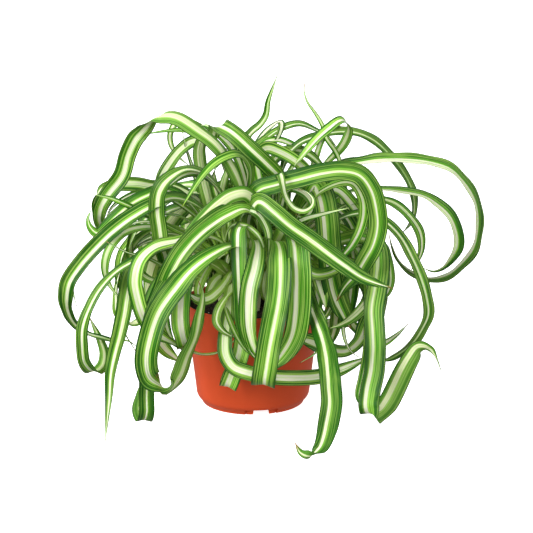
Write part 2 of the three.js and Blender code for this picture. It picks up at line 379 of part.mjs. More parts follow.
// The root and neck of a leaf: inside the crown, then just above it, leaning the way that the leaf goes
function rootPoints(plantlet, towards) {
  const [x, y] = CROWNS[plantlet];
  const lean = new THREE.Vector2(towards.x - x, towards.y - y).normalize();
  return [
    new THREE.Vector3(x + lean.x * LEAF_ROOT_OUT, y + lean.y * LEAF_ROOT_OUT, LEAF_ROOT_HEIGHT),
    new THREE.Vector3(x + lean.x * LEAF_NECK_OUT, y + lean.y * LEAF_NECK_OUT, LEAF_NECK_HEIGHT),
  ];
}

// A leaf that shows: its midrib's points, and the rule for its upper face at each. The same leaf is also made
// turned about the pot's axis, mirrored and in another size.
function seenLeaf([plantlet, width, tipShare, ...route], quarter = 0, hand = 1, size = 1) {
  const axis = new THREE.Vector3(0, 0, 1);
  const turned = (point) => point.applyAxisAngle(axis, quarter * DEGREE);
  const pivot = new THREE.Vector3(0, 0, LEAF_ROOT_HEIGHT);
  const shown = route.map(([across, up, near]) => {
    const point = seenPoint(hand * across, up, near);
    return turned(point.sub(pivot).multiplyScalar(size).add(pivot));
  });
  const eye = turned(EYE.clone());
  const points = [...rootPoints(plantlet, shown[0]), ...shown];
  const turns = [undefined, undefined, ...route.map((stop) => stop[3])];
  const faceAt = (index, tangent) => {
    const turn = turns[index];
    const sight = eye.clone().sub(points[index]).normalize();
    if (turn === undefined || Math.abs(sight.dot(tangent)) > SIGHT_TOO_STEEP) {
      return undefined;
    }
    const facing = sight.addScaledVector(tangent, -sight.dot(tangent)).normalize();
    return facing.applyAxisAngle(tangent, -hand * turn * DEGREE);
  };
  return { plantlet, width: width * size, tipShare: tipShare / 100, points, faceAt };
}

function turnedLeaf([plantlet, place, quarter, hand, size]) {
  const [, ...row] = SEEN_LEAVES[place];
  return seenLeaf([plantlet, ...row], quarter, hand, size);
}

// A leaf on the far side: springs up, bends over and winds in
function farLeaf([plantlet, width, tipShare, heading, length, late, bend, drift, twist]) {
  const [x, y] = CROWNS[plantlet];
  const out = new THREE.Vector3(Math.cos(heading * DEGREE), Math.sin(heading * DEGREE), 0);
  const root = rootPoints(plantlet, new THREE.Vector3(x, y, 0).add(out));
  const points = [...root];
  const faces = [undefined, undefined];
  const at = root[1].clone();
  for (let stop = 1; stop <= FAR_LEAF_POINTS; stop += 1) {
    let slope = 0;
    let compass = 0;
    for (let step = 1; step <= FAR_LEAF_STEPS; step += 1) {
      const share = (stop - 1 + step / FAR_LEAF_STEPS) / FAR_LEAF_POINTS;
      slope = (FAR_LEAF_START - bend * share ** late) * DEGREE;
      compass = (heading + drift * share * share) * DEGREE;
      const stride = length / (FAR_LEAF_POINTS * FAR_LEAF_STEPS);
      at.x += stride * Math.cos(slope) * Math.cos(compass);
      at.y += stride * Math.cos(slope) * Math.sin(compass);
      at.z += stride * Math.sin(slope);
    }
    points.push(at.clone());
    const upper = new THREE.Vector3(
      -Math.sin(slope) * Math.cos(compass),
      -Math.sin(slope) * Math.sin(compass),
      Math.cos(slope),
    );
    faces.push([upper, (twist * stop) / FAR_LEAF_POINTS]);
  }
  const faceAt = (index, tangent) => {
    if (faces[index] === undefined) {
      return undefined;
    }
    const [upper, turn] = faces[index];
    const face = upper.clone().addScaledVector(tangent, -upper.dot(tangent)).normalize();
    return face.applyAxisAngle(tangent, turn * DEGREE);
  };
  return { plantlet, width, tipShare: tipShare / 100, points, faceAt };
}

// Frames along the midrib: a face direction carried without twist, then turned to each stop's own face
function midribFrames({ points, faceAt }) {
  const curve = new THREE.CatmullRomCurve3(points, false, 'centripetal');
  const spans = points.length - 1;
  const count = spans * SAMPLES_PER_SPAN;
  const places = [];
  for (let i = 0; i <= count; i += 1) {
    places.push(curve.getPoint(i / count));
  }
  const tangents = places.map((place, i) => {
    const before = places[Math.max(i - 1, 0)];
    const after = places[Math.min(i + 1, count)];
    return after.clone().sub(before).normalize();
  });
  const carried = [new THREE.Vector3(-tangents[0].y, tangents[0].x, 0.001).cross(tangents[0]).normalize()];
  for (let i = 1; i <= count; i += 1) {
    const turn = new THREE.Quaternion().setFromUnitVectors(tangents[i - 1], tangents[i]);
    carried.push(carried[i - 1].clone().applyQuaternion(turn));
  }
  const turns = [];
  points.forEach((point, index) => {
    const i = index * SAMPLES_PER_SPAN;
    const face = faceAt(index, tangents[i]);
    if (face === undefined) {
      return;
    }
    const side = tangents[i].clone().cross(carried[i]);
    let angle = Math.atan2(face.dot(side), face.dot(carried[i]));
    if (turns.length > 0) {
      const last = turns[turns.length - 1].angle;
      angle += 2 * Math.PI * Math.round((last - angle) / (2 * Math.PI));
    }
    turns.push({ i, angle });
  });
  const lengths = [0];
  for (let i = 1; i <= count; i += 1) {
    lengths.push(lengths[i - 1] + places[i].distanceTo(places[i - 1]));
  }
  return places.map((place, i) => {
    const next = turns.findIndex((turn) => turn.i >= i);
    let angle = turns[0].angle;
    if (next < 0) {
      angle = turns[turns.length - 1].angle;
    } else if (next > 0) {
      const from = turns[next - 1];
      const to = turns[next];
      angle = from.angle + (to.angle - from.angle) * rise(from.i, to.i, i);
    }
    const face = carried[i].clone().applyAxisAngle(tangents[i], angle);
    const side = tangents[i].clone().cross(face);
    return { place, tangent: tangents[i], face, side, share: lengths[i] / lengths[count], length: lengths[i] };
  });
}

// Half width at each frame: narrow at the root, full along the blade, drawn out at the tip, and never wider
// than a sharp edgewise turn leaves room for
function halfWidths(frames, width, tipShare) {
  const base = BASE_LENGTH + BASE_LENGTH_SHARE * frames[frames.length - 1].length;
  return frames.map((frame, i) => {
    const root = BASE_WIDTH_SHARE + (1 - BASE_WIDTH_SHARE) * rise(0, base, frame.length);
    const tip = 1 - Math.max((frame.share - 1 + tipShare) / tipShare, 0) ** TIP_POWER;
    const full = Math.max((width * root * tip) / 2, TIP_WIDTH / 2);
    const before = frames[Math.max(i - 2, 0)];
    const after = frames[Math.min(i + 2, frames.length - 1)];
    const swing = Math.abs(after.tangent.clone().sub(before.tangent).dot(frame.side));
    const radius = (after.length - before.length) / Math.max(swing, 1e-6);
    return Math.min(full, radius * EDGE_TURN_LIMIT);
  });
}

// Stations are set closer where the blade bends or twists
function stationIndices(frames) {
  const indices = [0];
  let last = frames[0];
  for (let i = 1; i < frames.length; i += 1) {
    const frame = frames[i];
    const bend = frame.tangent.angleTo(last.tangent) + frame.face.angleTo(last.face);
    const run = frame.length - last.length;
    if (bend > STATION_TURN * DEGREE || run > STATION_LENGTH || i === frames.length - 1) {
      indices.push(i);
      last = frame;
    }
  }
  return indices;
}

// One blade: a channelled strip with a keel, four corners to a station, closed at both ends
function bladeGeometry(leaf) {
  const frames = midribFrames(leaf);
  const halves = halfWidths(frames, leaf.width, leaf.tipShare);
  const stations = stationIndices(frames);
  const positions = [];
  stations.forEach((i) => {
    const { place, face, side, share } = frames[i];
    const lift = CHANNEL_ALONG + (CHANNEL_AT_BASE - CHANNEL_ALONG) * (1 - rise(0, CHANNEL_BASE_SHARE, share));
    const out = halves[i] * Math.cos(lift * DEGREE);
    const up = halves[i] * Math.sin(lift * DEGREE);
    const corner = (sideways, upward) => {
      const point = place.clone().addScaledVector(side, sideways).addScaledVector(face, upward);
      positions.push(point.x, point.y, point.z);
    };
    corner(-out, up);
    corner(0, BLADE_THICKNESS / 2);
    corner(out, up);
    corner(0, -BLADE_THICKNESS / 2);
  });
  const indices = [];
  for (let s = 0; s < stations.length - 1; s += 1) {
    const a = s * 4;
    const b = a + 4;
    indices.push(a, b + 1, b, a, a + 1, b + 1);
    indices.push(a + 2, b + 2, b + 1, a + 2, b + 1, a + 1);
    indices.push(a + 2, b + 3, b + 2, a + 2, a + 3, b + 3);
    indices.push(a, b, b + 3, a, b + 3, a + 3);
  }
  const end = (stations.length - 1) * 4;
  indices.push(0, 3, 1, 1, 3, 2);
  indices.push(end, end + 1, end + 3, end + 1, end + 2, end + 3);
  const geometry = new THREE.BufferGeometry();
  geometry.setAttribute('position', new THREE.Float32BufferAttribute(positions, 3));
  geometry.setIndex(indices);
  return geometry;
}

// A closed three.js geometry as a solid for joins and cuts
function solidOf(geometry) {
  const bare = geometry.clone();
  bare.deleteAttribute('normal');
  bare.deleteAttribute('uv');
  const merged = mergeVertices(bare, 1e-4);
  const vertProperties = new Float32Array(merged.attributes.position.array);
  const triVerts = new Uint32Array(merged.index.array);
  return new wasm.Manifold(new wasm.Mesh({ numProp: 3, vertProperties, triVerts }));
}

// A solid back as a three.js geometry
function geometryOf(solid) {
  const mesh = solid.getMesh();
  const geometry = new THREE.BufferGeometry();
  geometry.setAttribute('position', new THREE.BufferAttribute(new Float32Array(mesh.vertProperties), 3));
  geometry.setIndex(new THREE.BufferAttribute(new Uint32Array(mesh.triVerts), 1));
  geometry.computeVertexNormals();
  return geometry;
}

// A body of revolution about the upright axis, from its profile of [radius, height]
function turned(profile, sides) {
  const geometry = new THREE.LatheGeometry(profile.map(([r, z]) => new THREE.Vector2(r, z)), sides);
  geometry.rotateX(Math.PI / 2);
  return geometry;
}

// Outer radius of the pot's tapered wall at a height
function wallRadius(height) {
  const share = (height - POT_BODY_BASE_HEIGHT) / (POT_HEIGHT - POT_BODY_BASE_HEIGHT);
  return POT_BODY_BASE_RADIUS + (POT_RIM_RADIUS - POT_BODY_BASE_RADIUS) * share;
}

// The pot's shell: lip, tapered wall, stepped-in foot ring and raised floor
function potShell() {
  const floorLow = FLOOR_HEIGHT;
  const floorHigh = FLOOR_HEIGHT + FLOOR_THICKNESS;
  return turned([
    [0, floorHigh],
    [0, floorLow],
    [POT_FOOT_RADIUS - FOOT_WALL, floorLow],
    [POT_FOOT_RADIUS - FOOT_WALL, 0],
    [POT_FOOT_RADIUS, 0],
    [POT_FOOT_RADIUS, POT_FOOT_STEP_HEIGHT],
    [POT_BODY_BASE_RADIUS, POT_BODY_BASE_HEIGHT],
    [wallRadius(POT_HEIGHT - LIP_HEIGHT), POT_HEIGHT - LIP_HEIGHT],
    [POT_RIM_RADIUS + LIP_PROUD, POT_HEIGHT - LIP_HEIGHT / 2],
    [POT_RIM_RADIUS, POT_HEIGHT],
    [POT_RIM_RADIUS - POT_WALL, POT_HEIGHT],
    [wallRadius(floorHigh) - POT_WALL, floorHigh],
    [0, floorHigh],
  ], POT_SIDES);
}

// One drainage notch through the foot ring, wider at the ground
function footNotch(angle) {
  const shape = new THREE.Shape([
    new THREE.Vector2(-NOTCH_WIDTH_LOW / 2, -1),
    new THREE.Vector2(NOTCH_WIDTH_LOW / 2, -1),
    new THREE.Vector2(NOTCH_WIDTH_HIGH / 2, NOTCH_HEIGHT),
    new THREE.Vector2(-NOTCH_WIDTH_HIGH / 2, NOTCH_HEIGHT),
  ]);
  const geometry = new THREE.ExtrudeGeometry(shape, { depth: FOOT_WALL * 5, bevelEnabled: false });
  geometry.rotateX(Math.PI / 2);
  geometry.translate(0, -(POT_FOOT_RADIUS - FOOT_WALL * 2), 0);
  geometry.rotateZ(angle);
  return geometry;
}

// One drain hole in the raised floor
function drainHole(angle) {
  const geometry = new THREE.CylinderGeometry(DRAIN_RADIUS, DRAIN_RADIUS, FLOOR_THICKNESS * 4, 16);
  geometry.rotateX(Math.PI / 2);
  geometry.translate(0, -DRAIN_CIRCLE, FLOOR_HEIGHT + FLOOR_THICKNESS / 2);
  geometry.rotateZ(angle);
  return geometry;
}

function potGeometry() {
  let pot = solidOf(potShell());
  for (let i = 0; i < FOOT_NOTCHES; i += 1) {
    const angle = NOTCH_TURN * DEGREE + (i * 2 * Math.PI) / FOOT_NOTCHES;
    pot = pot.subtract(solidOf(footNotch(angle)));
  }
  for (let i = 0; i < DRAIN_HOLES; i += 1) {
    const angle = ((i + 0.5) * 2 * Math.PI) / DRAIN_HOLES;
    pot = pot.subtract(solidOf(drainHole(angle)));
  }
  return geometryOf(pot);
}

// Height of the mix's surface: a low mound with clods
function soilHeight(x, y, radius) {
  const mound = SOIL_MOUND * (1 - (Math.hypot(x, y) / radius) ** 2);
  const clods = Math.sin(x * 0.41 + 1.3) * Math.sin(y * 0.37) + 0.6 * Math.sin(x * 0.83 - y * 0.71);
  return SOIL_TOP + mound + SOIL_CLODS * clods;
}

// Plain hole for one crown
function crownHole([x, y]) {
  const depth = POT_HEIGHT;
  const geometry = new THREE.CylinderGeometry(CROWN_RADIUS + CROWN_GAP, CROWN_RADIUS + CROWN_GAP, depth, CROWN_SIDES);
  geometry.rotateX(Math.PI / 2);
  geometry.translate(x, y, CROWN_BOTTOM - CROWN_GAP + depth / 2);
  return geometry;
}

function soilGeometry() {
  const floor = FLOOR_HEIGHT + FLOOR_THICKNESS + SOIL_GAP;
  const shrink = POT_WALL + SOIL_GAP / Math.cos(Math.PI / POT_SIDES) + 0.1;
  const topRadius = wallRadius(SOIL_TOP) - shrink;
  const profile = [[0, floor], [wallRadius(floor) - shrink, floor], [topRadius, SOIL_TOP]];
  for (let ring = SOIL_RINGS - 1; ring >= 0; ring -= 1) {
    profile.push([(topRadius * ring) / SOIL_RINGS, SOIL_TOP + 1]);
  }
  const geometry = turned(profile, POT_SIDES);
  const position = geometry.attributes.position;
  for (let i = 0; i < position.count; i += 1) {
    if (position.getZ(i) > SOIL_TOP + 0.5) {
      position.setZ(i, soilHeight(position.getX(i), position.getY(i), topRadius));
    }
  }
  let soil = solidOf(geometry);
  Object.values(CROWNS).forEach((place) => {
    soil = soil.subtract(solidOf(crownHole(place)));
  });
  return geometryOf(soil);
}

// The short crown that a plantlet's leaves grow from
function crownGeometry([x, y]) {
  const geometry = turned([
    [0, CROWN_BOTTOM],
    [CROWN_RADIUS * CROWN_END_SHARE, CROWN_BOTTOM],
    [CROWN_RADIUS, CROWN_BOTTOM + CROWN_ROUNDING],
    [CROWN_RADIUS, CROWN_TOP - CROWN_ROUNDING],
    [CROWN_RADIUS * CROWN_END_SHARE, CROWN_TOP],
    [0, CROWN_TOP],
  ], CROWN_SIDES);
  geometry.translate(x, y, 0);
  return geometry;
}

// One plantlet: its crown with all its leaves, grown together
function rosetteGeometry(plantlet, leaves) {
  const blades = leaves.filter((leaf) => leaf.plantlet === plantlet).map((leaf) => solidOf(bladeGeometry(leaf)));
  const whole = wasm.Manifold.union([solidOf(crownGeometry(CROWNS[plantlet])), ...blades]);
  // Blades that cross near the crown close small hollows in, which are filled
  const [outside] = whole.decompose().sort((a, b) => b.volume() - a.volume());
  return geometryOf(outside);
}

function named(name, geometry, colour, roughness) {
  const material = new THREE.MeshStandardMaterial({ color: colour, roughness, metalness: 0 });
  const mesh = new THREE.Mesh(geometry, material);
  mesh.name = name;
  return mesh;
}

const leaves = [
  ...SEEN_LEAVES.map((row) => seenLeaf(row)),
  ...TURNED_LEAVES.map(turnedLeaf),
  ...FAR_LEAVES.map(farLeaf),
];
const group = new THREE.Group();
group.add(named('pot', potGeometry(), 0xc8552f, 0.55));
group.add(named('soil', soilGeometry(), 0x2a1d17, 0.95));
Object.keys(CROWNS).forEach((plantlet) => {
  group.add(named(`rosette_${plantlet}`, rosetteGeometry(plantlet, leaves), 0x5f9a3c, 0.45));
});

// The origin is under the middle of the whole
const bounds = new THREE.Box3().setFromObject(group);
const middle = bounds.getCenter(new THREE.Vector3());
group.position.set(-middle.x, -middle.y, 0);

export default group;
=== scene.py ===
"""A potted curly spider plant: fine striped leaves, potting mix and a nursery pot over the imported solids."""
import math

import bmesh
import bpy
import numpy as np
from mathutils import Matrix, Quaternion, Vector


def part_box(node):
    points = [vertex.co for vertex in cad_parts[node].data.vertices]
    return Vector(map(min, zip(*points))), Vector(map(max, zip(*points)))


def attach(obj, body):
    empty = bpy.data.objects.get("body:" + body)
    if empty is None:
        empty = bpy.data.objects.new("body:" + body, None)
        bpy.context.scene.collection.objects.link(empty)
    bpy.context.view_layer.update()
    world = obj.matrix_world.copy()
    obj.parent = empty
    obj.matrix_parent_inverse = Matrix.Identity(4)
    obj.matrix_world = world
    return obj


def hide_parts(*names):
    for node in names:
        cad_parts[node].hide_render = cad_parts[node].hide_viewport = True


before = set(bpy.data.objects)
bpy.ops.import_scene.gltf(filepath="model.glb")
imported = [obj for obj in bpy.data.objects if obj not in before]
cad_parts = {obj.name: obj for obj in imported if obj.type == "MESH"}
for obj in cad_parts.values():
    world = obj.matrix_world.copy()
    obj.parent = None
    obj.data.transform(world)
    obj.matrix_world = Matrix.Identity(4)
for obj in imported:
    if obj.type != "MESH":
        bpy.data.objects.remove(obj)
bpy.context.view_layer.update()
MM = 0.001
DEGREE = math.pi / 180
FULL_TURN = 2 * math.pi
POT_LOW, POT_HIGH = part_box("pot")
POT_AXIS = Vector(((POT_LOW.x + POT_HIGH.x) / 2, (POT_LOW.y + POT_HIGH.y) / 2, 0))
SEED = 7

# Pot, in millimetres
POT_RIM_RADIUS = 65
POT_HEIGHT = 100
POT_BODY_BASE_RADIUS = 54
POT_BODY_BASE_HEIGHT = 7
POT_FOOT_RADIUS = 49
POT_FOOT_TOP = 2.2
POT_FOOT_DRAFT = 0.6
POT_WALL = 1.6
POT_CENTRE = 0.5
POT_SIDES = 192
LIP_HEIGHT = 2.2
LIP_PROUD = 0.5
LIP_UNDERSIDE = 0.4
WALL_RINGS = 8
WALL_FIRST_RING = 14
WALL_LAST_RING = 3
FLOOR_HEIGHT = 6
FLOOR_THICKNESS = 1.8
CRISP_ANGLE = 32

# Foot notches, the tabs beside them, and drain holes
FOOT_WALL = 2.6
FOOT_NOTCHES = 3
NOTCH_TURN = 9.5
NOTCH_WIDTHS = (16, 13.5)
NOTCH_HEIGHT = 5.4
NOTCH_REACH = (8, 7)
TAB_WIDTH = 31
TAB_SET_IN = 1.2
TAB_HEIGHT = 5.5
TAB_REACH = 6
TAB_GROOVE = 1.5
TAB_GROOVE_DEPTH = 2.2
CUT_BELOW = 1
ARC_STEPS = 12
DRAIN_HOLES = 6
DRAIN_RADIUS = 4
DRAIN_CIRCLE = 31
DRAIN_SIDES = 24
DRAIN_PAST_FLOOR = 3

# Potting mix: its surface is a low mound, with waves of three sizes over it
SOIL_TOP = 94
SOIL_MOUND = 2.4
SOIL_GAP = 0.4
SOIL_RINGS = 60
SOIL_SIDES = 160
CLODS = 0.9
CLOD_WAVES = (0.41, 1.3, 0.37)
CLOD_RIDGES = (0.6, 0.83, 0.71)
SKIN = 0.45
SKIN_WAVES = (2.1, 1.9, 1.7, 2.3, 1.7, 1.9)
GRAIN = 0.3
GRAIN_WAVES = (4.7, 2, 3.1, 5.3, 2, 2.9)
CRUMBS = 620
CRUMB_SIZES = (0.8, 2.6)
CRUMB_STRETCH = (0.65, 1.35)
CRUMB_LUMPS = (0.75, 1.2)
CRUMB_LIFT = 0.12
CRUMB_REACH = 0.97
PERLITE_SHARE = 0.05

# Crowns: where each plantlet stands, as (to the right, towards the back), and its ribbed stem
CROWNS = {
    "front": (-2, -20),
    "left": (-24, 1),
    "right": (22, 0),
    "back": (1, 23),
}
CROWN_RADIUS = 9.5
CROWN_BOTTOM = 90
CROWN_TOP = 132
CROWN_SIDES = 56
CROWN_RINGS = 24
CROWN_RIBS = 7
CROWN_RIB_TWIST = 1.6
CROWN_RIB_DEPTH = 0.09
CROWN_GROOVE = 0.94
CROWN_NECK = 0.86
CROWN_BELLY = 0.16
CROWN_BELLY_REACH = 0.9
CROWN_CLOSES = 0.82
CROWN_END = 0.02
CROWN_FACTS = {"tone": 0.5, "stripe": 0.3, "middle": 0, "deepness": 0.5}
LEAF_ROOT_HEIGHT = 99
LEAF_ROOT_OUT = 3
LEAF_NECK_HEIGHT = 113
LEAF_NECK_OUT = 6

# Blades
BLADE_HALF_THICKNESS = 0.42
BLADE_EDGE_HALF_THICKNESS = 0.12
BASE_WIDTH_SHARE = 0.44
BASE_LENGTH = 80
BASE_LENGTH_SHARE = 0.2
TIP_POWER = 2.4
TIP_WIDTH = 0.8
CHANNEL_ALONG = 14
CHANNEL_AT_BASE = 44
CHANNEL_BASE_SHARE = 0.25
CHANNEL_ROUND = 1.15
EDGE_TURN_LIMIT = 0.8
EDGE_TURN_REACH = 3
LEAST_SWING = 1e-6
SAMPLE_LENGTH = 2.8
SAMPLES_PER_SPAN = 6
ACROSS = (-1, -0.8, -0.55, -0.28, 0, 0.28, 0.55, 0.8, 1)
RIPPLE_SHARE = 0.07
RIPPLE_LENGTHS = (26, 48)

# Ivory stripes: where the middle lies across the blade and half its width, both as shares of the half width
STRIPE_PLACES = (-0.22, 0.22)
STRIPE_SHARES = (0.17, 0.36)

# How deep a leaf's green is, from 0 for lime to 1 for dark
LEAF_DEEPNESS = (0.15, 0.75)

# The same for single leaves that show, by their place in the list below
OWN_STRIPES = {
    0: (-0.1, 0.24), 1: (0, 0.08), 2: (0.1, 0.36), 3: (0, 0.12), 4: (0, 0.3), 5: (0.1, 0.32),
    6: (-0.08, 0.22), 7: (0, 0.04), 11: (-0.2, 0.17), 12: (0, 0.17), 13: (-0.2, 0.2),
    18: (-0.28, 0.14), 19: (0, 0.16), 21: (0, 0.1), 22: (0, 0.3), 25: (0.2, 0.16), 26: (-0.1, 0.4),
    27: (-0.12, 0.14), 28: (0.3, 0.15), 31: (0, 0.4), 32: (0.2, 0.13), 34: (0, 0.17),
    35: (0.08, 0.12), 37: (0, 0.5), 40: (0, 0.17), 41: (0, 0.2), 46: (0, 0.12), 51: (0, 0.03),
    53: (0, 0.13), 54: (0.5, 0.45), 55: (0.5, 0.42), 57: (0, 0.13), 59: (0.25, 0.15),
    63: (0.3, 0.18),
}
OWN_DEEPNESS = {
    0: 0.5, 4: 0.6, 5: 0.6, 6: 0.75, 12: 0.75, 13: 0.85, 19: 0.6, 21: 0.9, 25: 0.5, 26: 0.4,
    27: 0.55, 28: 0.3, 31: 0.6, 32: 1.0, 34: 0.85, 35: 0.7, 37: 0.1, 40: 0.7, 53: 0.8, 54: 0.8,
    55: 0.8, 57: 0.75, 59: 0.75, 63: 0.6,
}

# Leaves that spring up and bend over: the far side's, and young ones deep in each plantlet
FAR_LEAF_POINTS = 9
FAR_LEAF_STEPS = 12
FAR_LEAF_START = 84
YOUNG_LEAVES_EACH = 26
YOUNG_WIDTHS = (8, 15)
YOUNG_LENGTHS = (85, 190)
YOUNG_LATENESS = (0.9, 2.0)
YOUNG_BENDS = (130, 300)
YOUNG_DRIFTS = (-45, 45)
YOUNG_TWISTS = (-70, 70)
YOUNG_TIP = 30
YOUNG_FLOOR = 103
YOUNG_REACH = 50

# The camera, on the line of sight that the leaf lists are given along
SIGHT_ELEVATION = 15.5
SIGHT_DISTANCE = 2400
SIGHT_ACROSS = 13
SIGHT_HEIGHT = 131
SIGHT_TOO_STEEP = 0.93
EYE = Vector((
    SIGHT_ACROSS,
    -SIGHT_DISTANCE * math.cos(SIGHT_ELEVATION * DEGREE),
    SIGHT_HEIGHT + SIGHT_DISTANCE * math.sin(SIGHT_ELEVATION * DEGREE),
))
AIM_LIFT = 1.5
SENSOR = 36
LENS = 170.1

# Studio, in metres and watts: light by height round the room, from straight down at 0 to straight up at 1
ROOM_LEVELS = ((0.47, 0.4), (0.49, 0.9), (0.6, 0.9), (0.7, 0.88))
FLOOR_SIZE = 14
FLOOR_GLOW = 0.9
LAMP_SIZE = 1.5
LAMPS = {"key": ((-2.2, -1.45, 1.5), 93), "fill": ((0.5, -2.6, 1.3), 16)}
WHITE = (255, 255, 255)

# Leaf colours, as seen, from 0 to 255
UPPER_FACE = {
    "deep": (30, 88, 4), "mid": (82, 160, 24), "lime": (180, 222, 98), "ivory": (230, 232, 204),
}
UNDER_FACE = {
    "deep": (70, 126, 26), "mid": (110, 168, 56), "lime": (174, 212, 104), "ivory": (224, 232, 184),
}
# Painted shade: a dark green line along the blades' rims, which stands in for shade at the leaf edges
RIM_SHADE_GREEN = (22, 58, 6)
ROOT_PALE = (188, 226, 96)
DRY_TIP = (140, 100, 48)
CROWN_WHITE = (222, 224, 176)
CROWN_GREEN = (150, 186, 92)

# Leaf surface: the order of a plantlet's finishes, how much wider the stripe shows and how rough the face is
UPPER_SLOT, UNDER_SLOT, CROWN_SLOT = range(3)
UPPER_LOOK = (1.0, 0.32)
UNDER_LOOK = (1.4, 0.52)
LEAF_GLOSS = 0.2
LEAF_DEPTH = 0.2
LEAF_DEPTH_REACH = (0.6, 1.0, 0.3)
ROUGHNESS_SPREAD = 0.16

# Leaf pattern: how far apart two leaves' patterns lie, and waves a metre along the blade
LEAVES_APART = 60
WANDER_ALONG = 16
PATCH_ALONG = 30
PATCH_OFFSET = 3

# Leaf grains: waves a metre across and along the blade, offset, detail and roughness
LEAF_GRAINS = {
    "streaks": (560, 6, 0, 2, 0.6),
    "fine": (1300, 9, 7, 1, 0.5),
}

# Leaf pattern: where the stripe, the lime band beside it and the dark margin begin and end
STRIPE_WANDER = 0.2
STRIPE_FRAY = 0.26
STRIPE_EDGE = 0.025
LIME_BAND = (0.04, 0.18)
LIME_STRENGTH = (0.9, 0.6)
DEEP_BAND = (0.22, 0.82)
DEEP_FRAY = 1.2
DEEPNESS_SHIFT = 0.9

# Long lines in the green and in the ivory: grain, its two ends, strength, more in pale leaves, and colour
GREEN_LINES = (
    ("streaks", 0.55, 0.62, 0.25, 0.5, "lime"),
    ("streaks", 0.46, 0.39, 0.75, 0, "deep"),
    ("fine", 0.53, 0.6, 0.2, 0.5, "lime"),
    ("fine", 0.47, 0.4, 0.6, 0, "deep"),
)
IVORY_LINES = (
    ("fine", 0.49, 0.6, 0.5, 0, "lime"),
    ("streaks", 0.56, 0.66, 0.6, 0, "mid"),
)

# Leaf pattern: painted shade as a dark line along the rim, the pale root, soft lime patches and the dry tip
RIM_SHADE_BAND = (0.86, 0.95)
RIM_SHADE_STRENGTH = 0.9
ROOT_BAND = (0.03, 0.12)
ROOT_STRENGTH = 0.65
PATCH_BAND = (0.52, 0.8)
PATCH_STRENGTH = 0.15
DRY_BAND = (0.975, 0.998)
DRY_FRAY = 0.02
DRY_LEAVES = (0.55, 0.6)

# Leaf relief: long ribs with a finer grain on them
RIB_GRAIN = 9500
RIB_WANDER = 3
RIB_SHARE = 0.5
FINE_SHARE = 0.8
RIB_RELIEF = (0.00022, 0.55)

# Crown finish: where the white base turns green, its upright ribs, its relief's depth in metres and strength
CROWN_BAND = (0.008, 0.04)
CROWN_GRAIN = (900, 12)
CROWN_RIB_BAND = (0.45, 0.7)
CROWN_RIB_STRENGTH = 0.5
CROWN_RELIEF = (0.0004, 0.6)
CROWN_ROUGHNESS = 0.5

# Pot plastic
POT_COLOURS = ((215, 80, 38), (205, 74, 34))
POT_MOTTLE = (26, 3)
POT_GRAIN = (1600, 2)
POT_RELIEF = (0.00006, 0.5)
POT_ROUGHNESS = (0.42, 0.12)
POT_GLOSS = 0.2

# Potting mix and its white grains
MIX_COLOURS = ((26, 18, 13), (66, 46, 32))
FIBRE_COLOUR = (110, 82, 54)
MIX_LUMPS = (320, 4, 0.65)
MIX_FIBRES = (900, 3, 0.6)
LUMP_BAND = (0.4, 0.7)
FIBRE_BAND = (0.6, 0.75)
FIBRE_STRENGTH = 0.5
MIX_RELIEF = (0.0008, 0.8)
MIX_ROUGHNESS = 0.92
PERLITE_COLOURS = ((226, 222, 210), (190, 182, 166))
PERLITE_PORES = (1500, 3)
PERLITE_RELIEF = (0.0003, 0.7)
PERLITE_ROUGHNESS = 0.9

# Sockets that share a name with others are told by their number
NUMBER_OUTPUT = 2
OBJECT_OUTPUT = 3
MIX_SHARE, MIX_FIRST, MIX_SECOND, MIX_COLOUR = 0, 6, 7, 2


